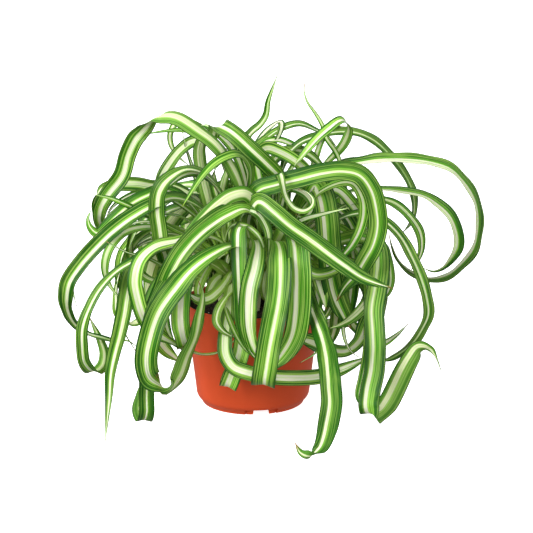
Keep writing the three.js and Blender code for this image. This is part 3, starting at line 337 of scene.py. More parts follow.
# Leaves that show from the front: plantlet, width, share of the length that the tip takes in percent,
# then the midrib's points after the neck as [across, up, near, turn]. Across and up are read on the
# upright plane through the pot's axis, near is the distance from there towards the viewer, and turn is
# how far the upper face is turned from the viewer, towards the left of the leaf's run. A point without
# turn leaves the blade to follow.
SEEN_LEAVES = [
  # High loops and arches on the left
  ["left", 17, 24, [-18, 140, 8, 150], [-10, 190, 25, 130], [-12, 213, 32, 128], [-32, 249, 38, 132],
    [-52, 265.5, 36, 145], [-71, 277.5, 30, 148], [-84, 279, 21, 128], [-94, 275.5, 15, 80],
    [-103, 266, 10, 25], [-110.5, 257, 8, 5], [-117.5, 242, 5, 0], [-123.5, 222, 5, 0], [-136.5, 204, 5, 0],
    [-144.5, 190, 5, 10], [-146, 176, 2, 30], [-138, 169, -5, 60], [-125, 168, -10, 70],
    [-112, 167, -15, 70]],
  ["left", 8, 30, [-40, 150, 0, 40], [-75, 170, 10, 40], [-100, 184, 28, 40], [-118, 193, 37, 35],
    [-135, 200, 34, 35], [-150, 203, 27, 35]],
  ["left", 15, 28, [-30, 150, -10, -90], [-50, 195, -14, -70], [-75, 209, -16, -45], [-95, 210, -16, -20],
    [-110, 212.5, -15, -15], [-127, 212, -12, -20], [-140, 208, -8, -40], [-148, 200, -6, -100],
    [-150, 190, -4, -110], [-148, 180, -2, -120], [-141, 173, 0, -120]],
  ["left", 15, 30, [-35, 150, 5, -90], [-62, 196, 15, -60], [-85, 206.5, 22, -35], [-100, 201.5, 26, -30],
    [-115, 193.5, 29, -25], [-128, 182.5, 31, -25], [-139, 171.5, 32, -30], [-147, 165, 30, -10],
    [-154, 171, 28, 20], [-156, 180, 27, 30], [-153, 188, 26, 30]],
  ["left", 15, 16, [-30, 150, -5, 170], [-42, 200, -12, 165], [-48, 230, -15, 150], [-49, 248, -18, 145],
    [-44, 260, -24], [-38, 264, -33]],
  ["left", 14, 25, [-18, 160, -24, -90], [-20, 225, -30, -80], [-35, 252, -28, -60], [-55, 254, -26, -35],
    [-67.2, 246, -24, -30], [-78.2, 232, -22, -25], [-86.7, 216, -20, -20], [-87.7, 200, -20, -20],
    [-82, 185, -22, -10]],
  ["left", 16, 20, [-22, 150, 15, -90], [-28, 200, 30, -85], [-45, 222, 36, -75], [-62, 227, 40, -65],
    [-78, 219, 42, -45], [-88, 207, 42, -15], [-91, 190, 42, 0], [-89, 170, 42, 0], [-87, 155, 42, 0],
    [-83, 138, 38, 10], [-80, 118, 34, 20], [-84, 98, 30, 20]],
  ["left", 10, 35, [-16, 150, 12, -60], [-4, 205, 22, -50], [-3, 231, 26, -40], [-14, 242, 36, -40],
    [-27, 239, 46, -20], [-38, 232, 52, -10], [-48, 221, 55, 0], [-58, 206, 57, 0], [-67, 191, 58, 0]],
  ["left", 10, 28, [-26, 150, -15, -90], [-35, 195, -18, -70], [-55, 205, -18, -60], [-75, 199, -16, -50],
    [-95, 185, -14, -50], [-110, 168, -12, -50], [-118, 150, -10, -50]],
  ["left", 5, 40, [-35, 160, -6, 0], [-50, 205, -18, 0], [-57, 230, -22, 0], [-62, 246, -24, 0],
    [-66, 263, -26, 0]],
  ["left", 9, 20, [-26, 160, 10, 180], [-29, 200, 12, 180], [-25, 222, 12, 170], [-20, 233, 6]],
  # Leaves that hang and curl on the left
  ["left", 15.5, 28, [-28, 150, 15, -90], [-50, 190, 25, -70], [-75, 200, 32, -50], [-95, 193, 38, -35],
    [-113.5, 182.8, 42, -20], [-131.5, 169.8, 46, -5], [-148.5, 153.8, 50, 0], [-164.3, 135.8, 52, 0],
    [-176.3, 117.8, 54, 0], [-179.8, 103, 55, 20], [-179, 88, 56, 42], [-172, 74, 58, 60],
    [-159, 65, 60, 66], [-146, 61, 62, 60], [-133, 58, 64, 60], [-120, 58, 66, 60], [-112, 53, 67, 60]],
  ["left", 12, 22, [-30, 135, 30, -90], [-60, 152, 48, -70], [-90, 148, 60, -55], [-112, 138, 66, -50],
    [-130, 127, 70, -50], [-145, 111, 74, -45], [-156, 92, 77, -35], [-163.2, 72, 79, -20],
    [-164.2, 52, 80, 0], [-162.2, 36, 79, 0], [-153, 28, 70], [-145, 34, 60, 180], [-143, 46, 57, 180],
    [-147, 60, 56, 180], [-153, 74, 56, 170], [-157, 83, 57, 170]],
  ["left", 16.5, 60, [-45, 140, 25, -90], [-80, 152, 40, -60], [-103, 143, 50, -30], [-116, 125, 58, -10],
    [-121, 105, 68, 0], [-124.5, 84, 82, 0], [-129, 64, 98, 0], [-134, 45, 114, 0], [-138, 24, 130, 0],
    [-139.5, 2, 144, 0], [-141.5, -20, 155, 0], [-143.5, -43.5, 164, 0]],
  ["left", 10, 30, [-60, 165, 0, -80], [-95, 171, 10, -50], [-120, 166, 20, -40], [-134, 153, 26, -25],
    [-140, 138, 30, -20], [-140, 124, 32, -25], [-134, 110, 34, -35], [-126, 100, 36, -40]],
  ["left", 5, 35, [-60, 165, 0, -80], [-105, 176, 2, -60], [-128, 167, 4, -50], [-148, 152, 8, -45],
    [-164, 134, 12, -35], [-172, 117, 14, -20], [-171, 103, 14, -10], [-168, 91, 14, 0]],
  ["left", 5, 40, [-45, 120, 30, 40], [-75, 128, 46, 40], [-100, 141, 54, 40], [-120, 147, 54, 40],
    [-139, 157, 52, 40]],
  # Leaves that come forward over the left of the rim
  ["front", 15, 20, [-4, 150, 28, 150], [4, 190, 42, 150], [-6, 204, 52, 165], [-20, 202, 57, 180],
    [-33, 193, 61, 180], [-46, 180, 64, 180], [-57, 166, 66, 180], [-66, 150, 64, 180],
    [-72, 134, 60, 180]],
  ["front", 19, 20, [-2, 140, 30, -60], [4, 178, 46, -60], [-8, 190, 56, -50], [-26, 184, 64, -20],
    [-43, 173, 70, 0], [-58, 159, 75, 0], [-70, 144, 79, 0], [-80, 126, 82, 0], [-87, 108, 82, 0],
    [-94, 92, 80, 0], [-99, 76, 76, 10], [-102, 60, 72, 10]],
  ["front", 22, 32, [-4, 125, 40, 180], [-8, 147, 58], [-20, 152, 75, -70], [-38, 144, 88, -50],
    [-58.3, 129, 98, -30], [-75.3, 109, 106, -10], [-90.3, 87, 112, 0], [-99, 62, 116, 0],
    [-103, 40, 118, 0], [-101, 23, 117, 10], [-91.5, 14, 110, 50], [-79.5, 10, 100, 125],
    [-70.5, 22.5, 93, 135], [-63.5, 42, 90, 130], [-55, 62, 88, 130], [-50.5, 84, 86, 150],
    [-48, 98, 80, 150], [-48, 108, 77, 125], [-52, 118, 75, 110]],
  ["front", 15, 36, [-14, 130, 30, -90], [-30, 156, 45, -75], [-50, 162, 54, -60], [-72, 157, 62, -50],
    [-93.4, 151, 70, -40], [-106.4, 139, 77, -30], [-112.4, 120, 82, -5], [-110, 100, 85, 0],
    [-104, 80, 87, 10], [-93, 66, 84, 35], [-78, 56, 82, 60], [-63, 48, 80, 72], [-48, 44, 80, 75],
    [-34, 46, 80, 75], [-22, 54, 77, 70], [-14, 64, 74, 60]],
  ["front", 15, 14, [-20, 120, 35, 180], [-48, 138, 60], [-76, 122, 80, -30], [-94, 92, 94, 0],
    [-101, 60, 99, 0], [-102, 30, 100, 0], [-103, 1.5, 101, 0], [-103, -14.5, 101, 0], [-106, -21.5, 94],
    [-110, -11.5, 85, 165], [-108, 2, 80, 175], [-105, 22, 79, 180]],
  ["front", 18, 14, [-20, 122, 35, 180], [-40, 138, 52], [-57, 132, 64, -30], [-66, 115, 72, 0],
    [-69, 95, 77, 0], [-69.5, 76, 81, 0], [-68, 64, 83, 20], [-65, 55, 80], [-64, 60, 72, 180],
    [-66, 76, 68, 180]],
  ["front", 9, 30, [-10, 118, 40, 180], [-17, 112, 58], [-26, 101, 72, -40], [-33, 89, 78, -20],
    [-35, 78, 82, 0], [-30, 69, 84, 30], [-21, 63, 84, 50], [-12, 61, 82, 60]],
  ["front", 12, 14, [-12, 128, 32, -90], [-20, 127, 44, -60], [-25, 118, 52, -40], [-33, 108, 58, -20],
    [-42, 101, 62, -10], [-52, 99.5, 64, -10], [-61, 105, 64, -20]],
  # Leaves that hang over the front of the pot
  ["front", 15, 30, [0, 130, 34, -150], [-2, 158, 46, -140], [-7, 173, 58, -90], [-12, 168, 70, -30],
    [-13, 150, 80, 0], [-12.5, 125, 88, 0], [-11.5, 100, 92, 0], [-10.5, 78, 95, 0], [-6.5, 60, 97, 0],
    [-0.5, 46, 98, 0], [6.5, 36, 97, 0]],
  ["front", 18, 30, [0, 128, 34, 150], [-1, 148, 50, 140], [2, 158, 64, 100], [4, 151, 76, 45],
    [2, 134, 86, 10], [-3, 112, 94, 0], [-5, 90, 98, 0], [-4, 68, 100, 0], [1, 50, 101, 0],
    [8, 38, 100, 0]],
  ["front", 23, 14, [10, 125, 34, 160], [15, 148, 52, 150], [20, 157, 65, 100], [24, 152, 78, 45],
    [25, 136, 89, 10], [25, 118, 97, 0], [23, 97, 103, 0], [19, 75, 108, 0], [15, 52, 112, 0],
    [12, 32, 114, 0], [10, 19, 113, 0], [10, 15, 105], [11, 26, 98, 180], [12, 44, 95, 180]],
  ["front", 23, 26, [18, 130, 32, 160], [27, 158, 50, 150], [34, 167, 64, 90], [41, 156, 76, 30],
    [44, 134, 84, 5], [45, 108, 89, 0], [44, 84, 93, 0], [40, 62, 96, 0], [31, 45, 98, 0], [21, 34, 98, 0],
    [12, 28, 96, 0]],
  ["front", 17, 14, [-4, 130, 48, 180], [-8, 142, 62], [-10, 124, 74, 0], [-9, 95, 79, 0], [-9, 70, 81, 0],
    [-11, 50, 83, 0], [-15, 35, 86, 0], [-20, 22, 88, 0], [-23, 14, 87, 0], [-24, 13, 80],
    [-22, 26, 75, 180], [-18, 42, 72, 180]],
  ["front", 7, 30, [-14, 118, 38, 120], [-23, 113, 58, 60], [-27, 96, 72, 40], [-23, 80, 82, 40],
    [-16, 63, 88, 40], [-8, 50, 91, 40], [2, 41, 92, 40]],
  ["front", 15, 22, [-16, 120, 50, 180], [-22, 108, 66, 0], [-24, 82, 77, 0], [-27, 58, 84, 0],
    [-26, 44, 90, 0], [-19, 32, 95, 10], [-5, 26, 98, 10], [18, 22, 96, 0], [44, 21, 86, 0],
    [66, 23, 74, 0], [86, 30, 67, 0], [105, 39, 63, 0], [113, 43, 62, 0]],
  ["front", 20, 20, [20, 130, 30, 170], [31, 156, 44, 150], [38, 159, 54, 90], [44, 141, 64, 20],
    [51, 110, 76, -40], [60.5, 85, 87, -42], [68.5, 61, 110, -35], [73, 37, 142, -15], [75, 14, 168, 0],
    [76, -6, 188, 0], [73.5, -23, 203, 0], [70.5, -40, 216, -15], [65.5, -52, 227, -30], [57, -58, 232],
    [47, -55.5, 230, 180], [40.5, -45, 226, 180]],
  ["front", 4, 40, [24, 128, 34, 0], [48, 108, 50, 0], [68, 82, 66, 0], [70, 60, 76, 0], [60, 46, 82, 0],
    [45, 36, 84, 0]],
  # Leaves that cross the middle
  ["front", 19, 30, [0, 140, 28, 60], [-3, 180, 44, 30], [6, 196, 56, 10], [20, 186, 66, 0],
    [36, 172, 74, 0], [54, 159, 80, 0], [72, 145, 86, 0], [88, 133, 90, 0], [104, 122, 93, 0],
    [118, 116, 95, 0], [133, 111, 96, 0]],
  ["front", 19, 18, [6, 140, 24, 60], [0, 182, 34, 40], [4, 206, 40, 20], [22, 213, 45, 10],
    [45, 219, 49, 10], [65, 224, 52, 10], [85, 226, 54, 10], [101, 222, 56, 5], [112, 208, 57, 0],
    [117.2, 190, 57, 0], [118.7, 172, 57, 0], [114.7, 154, 57, 0], [107.2, 139, 56, 0], [99, 125, 55, 0],
    [88, 112, 53, 0], [80, 98, 52, 0]],
  ["front", 8, 30, [12, 150, 26, 60], [18, 190, 30, 50], [22, 211, 34, 50], [25.5, 222, 46],
    [27.5, 213, 60, 40], [31, 200, 64, 40], [38.5, 189.5, 66, 40], [48, 186.5, 66, 30], [56, 191, 63, 30],
    [57.5, 198.5, 59, 30], [51, 206, 55, 40], [43, 208, 52, 50]],
  ["front", 6, 40, [15, 140, 30, 0], [34, 168, 44, 0], [46, 178, 50, 0], [66, 184, 54, 0],
    [91, 190, 56, 0]],
  ["front", 8, 28, [-16, 130, 30, 120], [-25, 160, 46, 80], [-18, 173, 58, 60], [-5, 171, 66, 50],
    [5, 162, 70, 50], [10, 150, 72, 50], [12, 135, 72, 50]],
  ["front", 12, 28, [-2, 140, 36, 120], [-12, 172, 46, 90], [-6, 186, 52, 60], [4, 184, 58, 40],
    [12, 172, 62, 30], [15, 158, 66, 30], [14, 142, 68, 30]],
  # High leaves in the middle
  ["right", 17, 16, [26, 150, 2, 90], [33, 198, 14, 60], [27, 218, 26, 30], [14, 232, 33, 10],
    [0, 245, 36, 0], [-13, 257.5, 34, 0], [-22, 265, 29, 5], [-29, 268, 20], [-34, 267, 10],
    [-37, 260, 2, 170], [-38.5, 250, -5, 180]],
  ["right", 12, 26, [24, 150, 8, 90], [28, 200, 12, 75], [36, 226, 12, 65], [48, 241, 10, 60],
    [59.5, 255, 8, 45], [71, 266, 5, 30], [84, 274.5, 0, 60], [90, 267.5, -5, 115], [86.5, 255, -8, 150],
    [80, 245, -9, 165], [71, 236, -10, 165], [60, 224, -12, 165]],
  ["right", 13, 24, [16, 160, -2, 60], [8, 212, -6, 40], [5, 238, -2, 40], [13, 248, 4, 20],
    [26, 244, 8, 15], [39, 236.5, 9, 15], [50, 227, 9, 15], [60, 216, 8, 20], [68, 204, 6, 20]],
  ["right", 6, 45, [40, 160, -8, 50], [70, 205, -5, 50], [83, 230, -5, 50], [78.5, 244, -6, 20],
    [68.5, 259, -8, 15], [65.5, 270, -9, 10], [58.5, 282, -10, 10], [51.5, 292, -10, 10],
    [48.5, 301, -10, 10], [48.5, 310, -10, 10]],
  ["back", 9, 30, [-4, 160, -18, -60], [-8, 215, -12, -40], [-19, 246, -10, -20], [-31, 260, -12, -10],
    [-42, 269, -15, 0], [-50, 270, -22, -30]],
  ["back", 9, 40, [-3, 157, -27, -90], [-10, 217, -27, -60], [-11, 249, -23, 30], [-1.5, 263.3, -21, 30],
    [7.5, 271.5, -19, 20], [12.5, 280, -18, 10], [14.5, 293, -17, 5], [18.5, 305, -16, 5],
    [23, 317.5, -15, 5]],
  ["back", 10.5, 30, [2, 160, -37, 70], [-4, 212, -44, 60], [0, 244, -47, 50], [14.5, 258.5, -48, 45],
    [28, 267, -49, 45], [44, 271, -49, 50], [58, 265.8, -48, 50], [70, 259, -46, 50], [80, 248, -44, 50]],
  ["back", 8, 24, [-4, 170, -38, 70], [-7, 218, -50, 60], [1, 246, -55, 50], [13, 264, -56, 50],
    [26, 273, -54], [26, 265, -45, 10], [21.5, 254, -42, 10], [17.5, 244, -41, 10]],
  ["back", 9, 28, [4, 170, -36, 70], [2, 228, -40, 60], [10, 252, -42, 45], [22, 256, -42, 38],
    [36, 252, -40, 35], [48, 243, -38, 35], [58, 232, -37, 35]],
  ["back", 11, 20, [-1, 150, -17, 180], [-3, 195, -14, 180], [-6, 226, -14, 180], [-11, 244, -18],
    [-18, 250, -25, 0], [-26, 246, -33, 0]],
  ["back", 11, 20, [2, 160, -18, 180], [3, 205, -15, 180], [1, 231, -16, 180], [3, 244, -21],
    [8, 246, -29, 0], [13, 238, -38, 0]],
  ["back", 7, 34, [-12, 160, -34, -80], [-22, 220, -42, -70], [-38, 249, -45, -55], [-52, 262, -45, -40],
    [-66, 265, -45, -35], [-84, 264, -45, -35], [-103, 261, -46, -35]],
  ["back", 9, 28, [-16, 165, -42, -80], [-28, 230, -54, -70], [-42, 262, -57, -50], [-58, 272, -56, -40],
    [-71, 272, -54, -35], [-76.8, 262, -53, -35], [-75.8, 250, -53, -35], [-67.8, 238, -54, -35],
    [-59.8, 231, -55, -35]],
  # Arches and loops on the right
  ["right", 11, 14, [24, 160, -10, 90], [26, 212, -14, 75], [33, 240, -18, 50], [45, 253, -20, 45],
    [62, 259.5, -22, 45], [80, 263.5, -24, 42], [98, 262.5, -24, 40], [115, 254.5, -22, 38],
    [128.5, 241.5, -20, 38], [140.5, 226.5, -16, 40], [149.5, 209.5, -12, 45], [152.5, 192.5, -8, 50],
    [150.5, 178.5, -5, 55], [141.5, 164.5, 0, 60]],
  ["right", 15, 22, [35, 160, -8, 90], [60, 214, -6, 75], [82, 231, -4, 65], [100, 234.5, 0, 54],
    [120, 237.5, 4, 50], [145, 237.5, 8, 48], [168, 234.5, 12, 48], [186, 228.5, 15, 53],
    [197.7, 217.5, 18, 55], [208.2, 202, 20, 57], [213.2, 185, 22, 58], [213.2, 165, 24, 59],
    [209.3, 148.8, 26, 56], [198.3, 134.7, 27, 57], [184.8, 123.7, 28, 62], [167, 120.9, 28, 64],
    [150, 127.9, 27, 64], [138, 140, 25, 64], [132, 154, 23, 66], [129, 166, 21, 68]],
  ["right", 12, 20, [45, 160, -10, 90], [80, 200, -8, 75], [102, 207, -5, 70], [123.2, 208, 0, 62],
    [143.2, 206, 5, 58], [162.1, 202, 9, 50], [174.1, 195, 12, 40], [187.1, 183, 15, 32],
    [194.1, 167, 17, 28], [195.1, 152, 18, 30], [188.9, 140, 19, 42], [180.5, 131, 20, 56],
    [172, 128, 20, 64], [162, 131, 20, 68]],
  ["right", 12, 26, [50, 160, 0, 80], [85, 190, 6, 70], [110, 198, 12, 60], [128, 196, 16, 50],
    [139, 190, 19, 45], [149.8, 179, 22, 38], [157.8, 166, 24, 32], [159.8, 150, 26, 30],
    [155.8, 137, 27, 34], [150, 128, 27, 45]],
  ["right", 13, 13, [50, 150, 12, 80], [85, 180, 24, 65], [110, 184, 32, 55], [125.5, 176, 38, 50],
    [139.5, 162, 43, 40], [150.5, 143, 48, 36], [159.5, 123, 52, 32], [165.5, 103, 56, 32],
    [167.5, 85, 58, 36], [162.0, 70.8, 60, 42], [154.0, 57.8, 61, 50], [143.0, 47.8, 61, 52],
    [132.0, 40.8, 60, 50], [121.0, 37.8, 58, 50]],
  # Leaves that hang and curl on the right
  ["right", 10, 20, [30, 150, 12, 60], [52, 195, 22, 50], [78, 213, 30, 40], [94, 214, 34, 20],
    [103, 201, 37, 10], [105, 186, 38, 0], [102, 170, 38, 0], [95, 155, 38, 0], [86, 143, 37, 0],
    [77, 132, 34, 0]],
  ["right", 24, 18, [35, 150, 6, 60], [48, 196, 14, 40], [59, 213, 20, 10], [66, 202, 26, 0],
    [70, 182, 30, 0], [72, 160, 33, 0], [74, 138, 35, 0], [77, 118, 37, 0], [82, 99, 38, 0],
    [89, 82, 39, 0], [94, 70, 40, 0]],
  ["right", 8, 22, [27, 150, 12, 60], [28, 190, 20, 40], [36, 208, 28, 30], [48, 204, 31, 20],
    [55, 195, 32, 20], [54, 186, 32, 20], [47, 181, 31, 20], [40, 184, 30, 20]],
  ["right", 12, 26, [45, 170, 0, 60], [64, 208, 6, 40], [80, 208, 10, 20], [93, 196, 12, 10],
    [103, 181, 14, 0], [109, 165, 15, 0], [111, 148, 15, 0]],
  ["right", 14, 22, [50, 150, -4, 60], [75, 170, 2, 40], [92, 160, 8, 20], [97, 138, 12, 0],
    [95, 112, 16, 0], [93, 90, 20, 0], [92, 74, 24, 0]],
  ["right", 20, 20, [50, 140, 8, 60], [84, 158, 18, 40], [107, 161, 28, 20], [118, 152, 35, 5],
    [121, 135, 44, 0], [119, 112, 54, 0], [116, 90, 63, 0], [117, 70, 71, 0], [118, 50, 79, 0],
    [117, 28, 87, 0], [113, 6, 95, 0], [112, -8, 101, 0], [115.5, -15.5, 99], [124.5, -13, 90, 160],
    [131.5, -3, 83, 180], [138.5, 12, 79, 180], [145.0, 27, 76, 180], [152.0, 41, 74, 180],
    [159.0, 51, 72, 160], [169.0, 50, 71, 120], [177.0, 39, 71, 100], [181.0, 29, 71, 100]],
  ["right", 10, 7, [60, 150, 2, 60], [92, 156, 12, 40], [104, 140, 22, 20], [109.6, 110, 40, 10],
    [111.1, 75, 60, 5], [110.1, 45, 74, 0], [106.1, 20, 82, 0], [103.1, 3, 87, 0], [105.1, -9, 90, 0]],
  ["right", 10, 26, [55, 135, 16, 60], [90, 150, 24, 50], [112, 156, 30, 45], [124, 152, 34, 45],
    [128.2, 142, 37, 45], [131.2, 128, 39, 50], [131.2, 115, 40, 50], [127.2, 105, 40, 45],
    [117.0, 97, 38, 40], [109, 91, 36, 40]],
  ["right", 9, 40, [50, 130, 5, 0], [78, 100, 14, 0], [98, 72, 24, 0], [112, 59.5, 32, 0],
    [124, 55.5, 38, 0], [137, 63.5, 42, 0], [149, 75.5, 44, 0]],
  ["right", 17, 10, [60, 132, 12, 60], [93, 130, 20, 30], [110, 112, 28, 12], [113, 92, 34, 10],
    [108, 74, 38, 8], [100, 58, 41, 40], [90, 50, 42, 48], [78, 50, 46, 45], [68, 53, 55, 30],
    [56, 58.5, 66, 0], [42, 61.5, 74, 0]],
  ["right", 14, 28, [60, 135, 22, 120], [95, 134, 32, 150], [111, 118, 40, 150], [112, 103, 46, 152],
    [106, 93, 50, 155], [96, 82.5, 52, 155], [84, 74.5, 53, 150], [74, 71, 54, 150]],
  ["right", 5, 40, [55, 125, 14, 0], [78, 105, 28, 0], [86, 82, 38, 0], [87, 66, 44, 0], [90, 55, 47, 0],
    [95, 47, 49, 0], [102, 42, 50, 0]],
  ["right", 13, 25, [34, 150, 10, 60], [44, 146, 26, 20], [50, 133, 38, -20], [60, 126, 46, -30],
    [72, 127, 50, -20], [84, 133, 50, 0], [93, 141, 46, 0]],
  ["right", 11, 24, [45, 150, 2, 60], [68, 150, 10, 30], [82, 130, 20, 0], [80, 108, 26, 0],
    [72, 88, 30, 0], [64, 74, 32, 0]],
  ["left", 12, 24, [-40, 140, 14, -90], [-66, 148, 26, -50], [-82, 132, 36, -20], [-87, 110, 42, 0],
    [-86, 85, 46, 0], [-81, 66, 48, 0], [-74, 55, 48, 0]],
  ["right", 12, 25, [20, 160, -12, 60], [13, 205, -17, 60], [17, 230, -19, 40], [30, 244, -19, 25],
    [46, 245, -19, 25], [60, 236, -18, 25], [71, 222, -17, 25]],
  ["right", 7, 30, [46, 165, -16, 30], [53, 210, -20, 25], [59, 236, -22, 20], [66, 256, -23, 20],
    [75, 267, -25, 40], [86, 270, -28, 60]],
  ["left", 6, 30, [-35, 160, 2, 20], [-75, 198, 2, 20], [-105, 206, 10, 20], [-122, 200, 14, 20],
    [-134, 190, 15, 20], [-140, 177, 14, 20]],
  ["right", 13, 28, [30, 150, -12, 60], [60, 182, -14, 50], [76, 190, -12, 40], [88, 182, -8, 20],
    [97, 166, -4, 10], [101, 148, 0, 0], [100, 130, 4, 0]],
  ["left", 12, 26, [-29, 130, 16, -60], [-40, 134, 26, -30], [-47, 124, 33, -10], [-52, 110, 38, 0],
    [-51, 97, 41, 0]],
  ["front", 12, 26, [-8, 124, 24, -60], [-20, 127, 33, -40], [-33, 121, 38, -20], [-41, 109, 41, 0],
    [-43, 97, 42, 0]],
  ["right", 13, 26, [40, 138, 10, 60], [55, 134, 22, 20], [63, 120, 32, 0], [67.5, 104, 40, 0],
    [70, 90, 45, 0]],
  ["left", 16, 16, [-50, 140, 5, -60], [-78, 128, 12, -40], [-93, 108, 18, -20], [-98, 87, 22, 0],
    [-94, 67, 25, 10], [-85, 50, 27, 20], [-70, 37, 28, 30]],
  ["left", 9, 30, [-22, 150, 8, -90], [-30, 200, 20, -80], [-44, 219, 27, -50], [-55, 223, 30, -40],
    [-64, 221.5, 31, -35], [-72, 217, 31, -30], [-79, 211, 31, -20], [-86, 201, 31, 0]],
  ["left", 7, 30, [-24, 150, -6, 160], [-30, 190, -9, 160], [-36, 214, -10, 160], [-35, 228, -11],
    [-28, 237, -14, 0], [-20, 243, -17, 0]],
  ["right", 13, 24, [46, 142, 2, 60], [65, 128, 6, 20], [77, 108, 11, 0], [80, 88, 15, 0], [78, 68, 19, 0],
    [72, 50, 23, 0]],
  ["right", 12, 24, [42, 146, 4, 60], [56, 140, 16, 10], [62, 122, 24, -10], [63, 104, 32, -10],
    [62, 92, 38, -10], [58, 80, 44, -10]],
]

# Leaves on the far side that repeat the habit of a leaf that shows: plantlet, place in the list above,
# how far it is turned about the pot's axis in degrees, 1 or -1 for its mirror image, and its size beside
# the first
TURNED_LEAVES = [
  ["back", 19, 180, 1, 0.95],
  ["back", 20, 180, -1, 1],
  ["back", 27, 172, 1, 1],
  ["back", 28, 188, -1, 0.95],
  ["back", 25, 184, 1, 1],
  ["back", 29, 200, -1, 1],
  ["back", 32, 195, 1, 0.85],
  ["back", 34, 165, 1, 1],
  ["back", 35, 185, -1, 0.8],
  ["back", 21, 150, -1, 0.95],
  ["back", 18, 190, -1, 0.95],
  ["right", 57, 57, 1, 0.95],
  ["left", 11, -45, 1, 0.8],
  ["left", 12, -52, 1, 0.84],
]

# Leaves on the far side, which spring up, bend over and wind in: plantlet, width, share of the tip in
# percent, compass heading from +X, length, how late the bend comes, the whole bend, sideways drift, and
# twist. Degrees.
FAR_LEAVES = [
  ["back", 15, 28, 68, 310, 0.9, 245, -25, -40],
  ["back", 17, 26, 112, 320, 1.0, 235, 25, 50],
  ["back", 14, 30, 84, 290, 1.7, 330, -35, -60],
  ["back", 13, 30, 52, 285, 1.5, 300, -30, 45],
  ["back", 15, 28, 134, 300, 1.3, 275, 30, -45],
  ["back", 16, 24, 95, 315, 0.9, 205, 12, -30],
  ["back", 12, 32, 100, 270, 2.1, 380, -20, 60],
  ["left", 14, 28, 154, 220, 1.1, 250, 10, 40],
  ["left", 15, 26, 146, 245, 0.8, 215, 8, -35],
  ["left", 12, 30, 160, 240, 1.5, 340, 15, 30],
  ["right", 14, 28, 28, 218, 1.0, 255, -10, -40],
  ["right", 15, 26, 35, 242, 0.8, 215, -8, 35],
  ["right", 12, 30, 20, 240, 1.5, 340, -15, -30],
]
def rise(low, high, value):
    """Soft rise from 0 to 1 between two values."""
    share = np.clip((value - low) / (high - low), 0, 1)
    return share * share * (3 - 2 * share)


def seen_point(across, up, near):
    """The point that shows at a place on the upright plane, brought nearer along the line of sight."""
    return Vector((across, 0, up)).lerp(EYE, near / -EYE.y)


def root_points(plantlet, towards):
    """The root and neck of a leaf: inside the crown, then just above it, leaning the way the leaf goes."""
    stem = Vector(CROWNS[plantlet])
    lean = (towards.xy - stem).normalized()
    stops = ((LEAF_ROOT_OUT, LEAF_ROOT_HEIGHT), (LEAF_NECK_OUT, LEAF_NECK_HEIGHT))
    return [Vector((*(stem + lean * out), height)) for out, height in stops]


def faced(upper, tangent, turn):
    """A face direction square to the leaf's run, turned about it by an angle in degrees."""
    square = (upper - tangent * upper.dot(tangent)).normalized()
    square.rotate(Quaternion(tangent, turn * DEGREE))
    return square


def seen_leaf(row, quarter=0, hand=1, size=1):
    """A leaf that shows, or the same leaf turned about the pot's axis, mirrored and in another size."""
    plantlet, width, tip_share, *route = row
    spin = Quaternion((0, 0, 1), quarter * DEGREE)
    pivot = Vector((0, 0, LEAF_ROOT_HEIGHT))
    shown = [spin @ ((seen_point(hand * s[0], s[1], s[2]) - pivot) * size + pivot) for s in route]
    eye = spin @ EYE
    points = root_points(plantlet, shown[0]) + shown
    turns = [None, None] + [s[3] if len(s) > 3 else None for s in route]

    def face_at(index, tangent):
        sight = (eye - points[index]).normalized()
        if turns[index] is None or abs(sight.dot(tangent)) > SIGHT_TOO_STEEP:
            return None
        return faced(sight, tangent, -hand * turns[index])

    width *= size
    return {"plantlet": plantlet, "width": width, "tip": tip_share / 100, "points": points, "face": face_at}


def shown_leaves():
    """The leaves that show, with their own stripes and greens where those are listed."""
    leaves = [seen_leaf(row) for row in SEEN_LEAVES]
    for fact, own_values in (("stripe", OWN_STRIPES), ("deepness", OWN_DEEPNESS)):
        for place, value in own_values.items():
            leaves[place][fact] = value
    return leaves


def turned_leaf(row):
    """A far-side leaf that repeats the habit of one that shows."""
    plantlet, place, quarter, hand, size = row
    return seen_leaf([plantlet, *SEEN_LEAVES[place][1:]], quarter, hand, size)


def far_leaf(row):
    """A leaf that springs up, bends over and winds in."""
    plantlet, width, tip_share, heading, length, late, bend, drift, twist = row
    x, y = CROWNS[plantlet]
    out = Vector((x + math.cos(heading * DEGREE), y + math.sin(heading * DEGREE), 0))
    points = root_points(plantlet, out)
    uppers = [None, None]
    at = points[1].copy()
    stride = length / (FAR_LEAF_POINTS * FAR_LEAF_STEPS)
    for stop in range(1, FAR_LEAF_POINTS + 1):
        for step in range(1, FAR_LEAF_STEPS + 1):
            share = (stop - 1 + step / FAR_LEAF_STEPS) / FAR_LEAF_POINTS
            slope = (FAR_LEAF_START - bend * share ** late) * DEGREE
            compass = (heading + drift * share * share) * DEGREE
            ahead = Vector((math.cos(compass), math.sin(compass), 0))
            at += stride * (ahead * math.cos(slope) + Vector((0, 0, math.sin(slope))))
        points.append(at.copy())
        upper = Vector((0, 0, math.cos(slope))) - ahead * math.sin(slope)
        uppers.append((upper, twist * stop / FAR_LEAF_POINTS))

    def face_at(index, tangent):
        if uppers[index] is None:
            return None
        upper, turn = uppers[index]
        return faced(upper, tangent, turn)

    return {"plantlet": plantlet, "width": width, "tip": tip_share / 100, "points": points, "face": face_at}


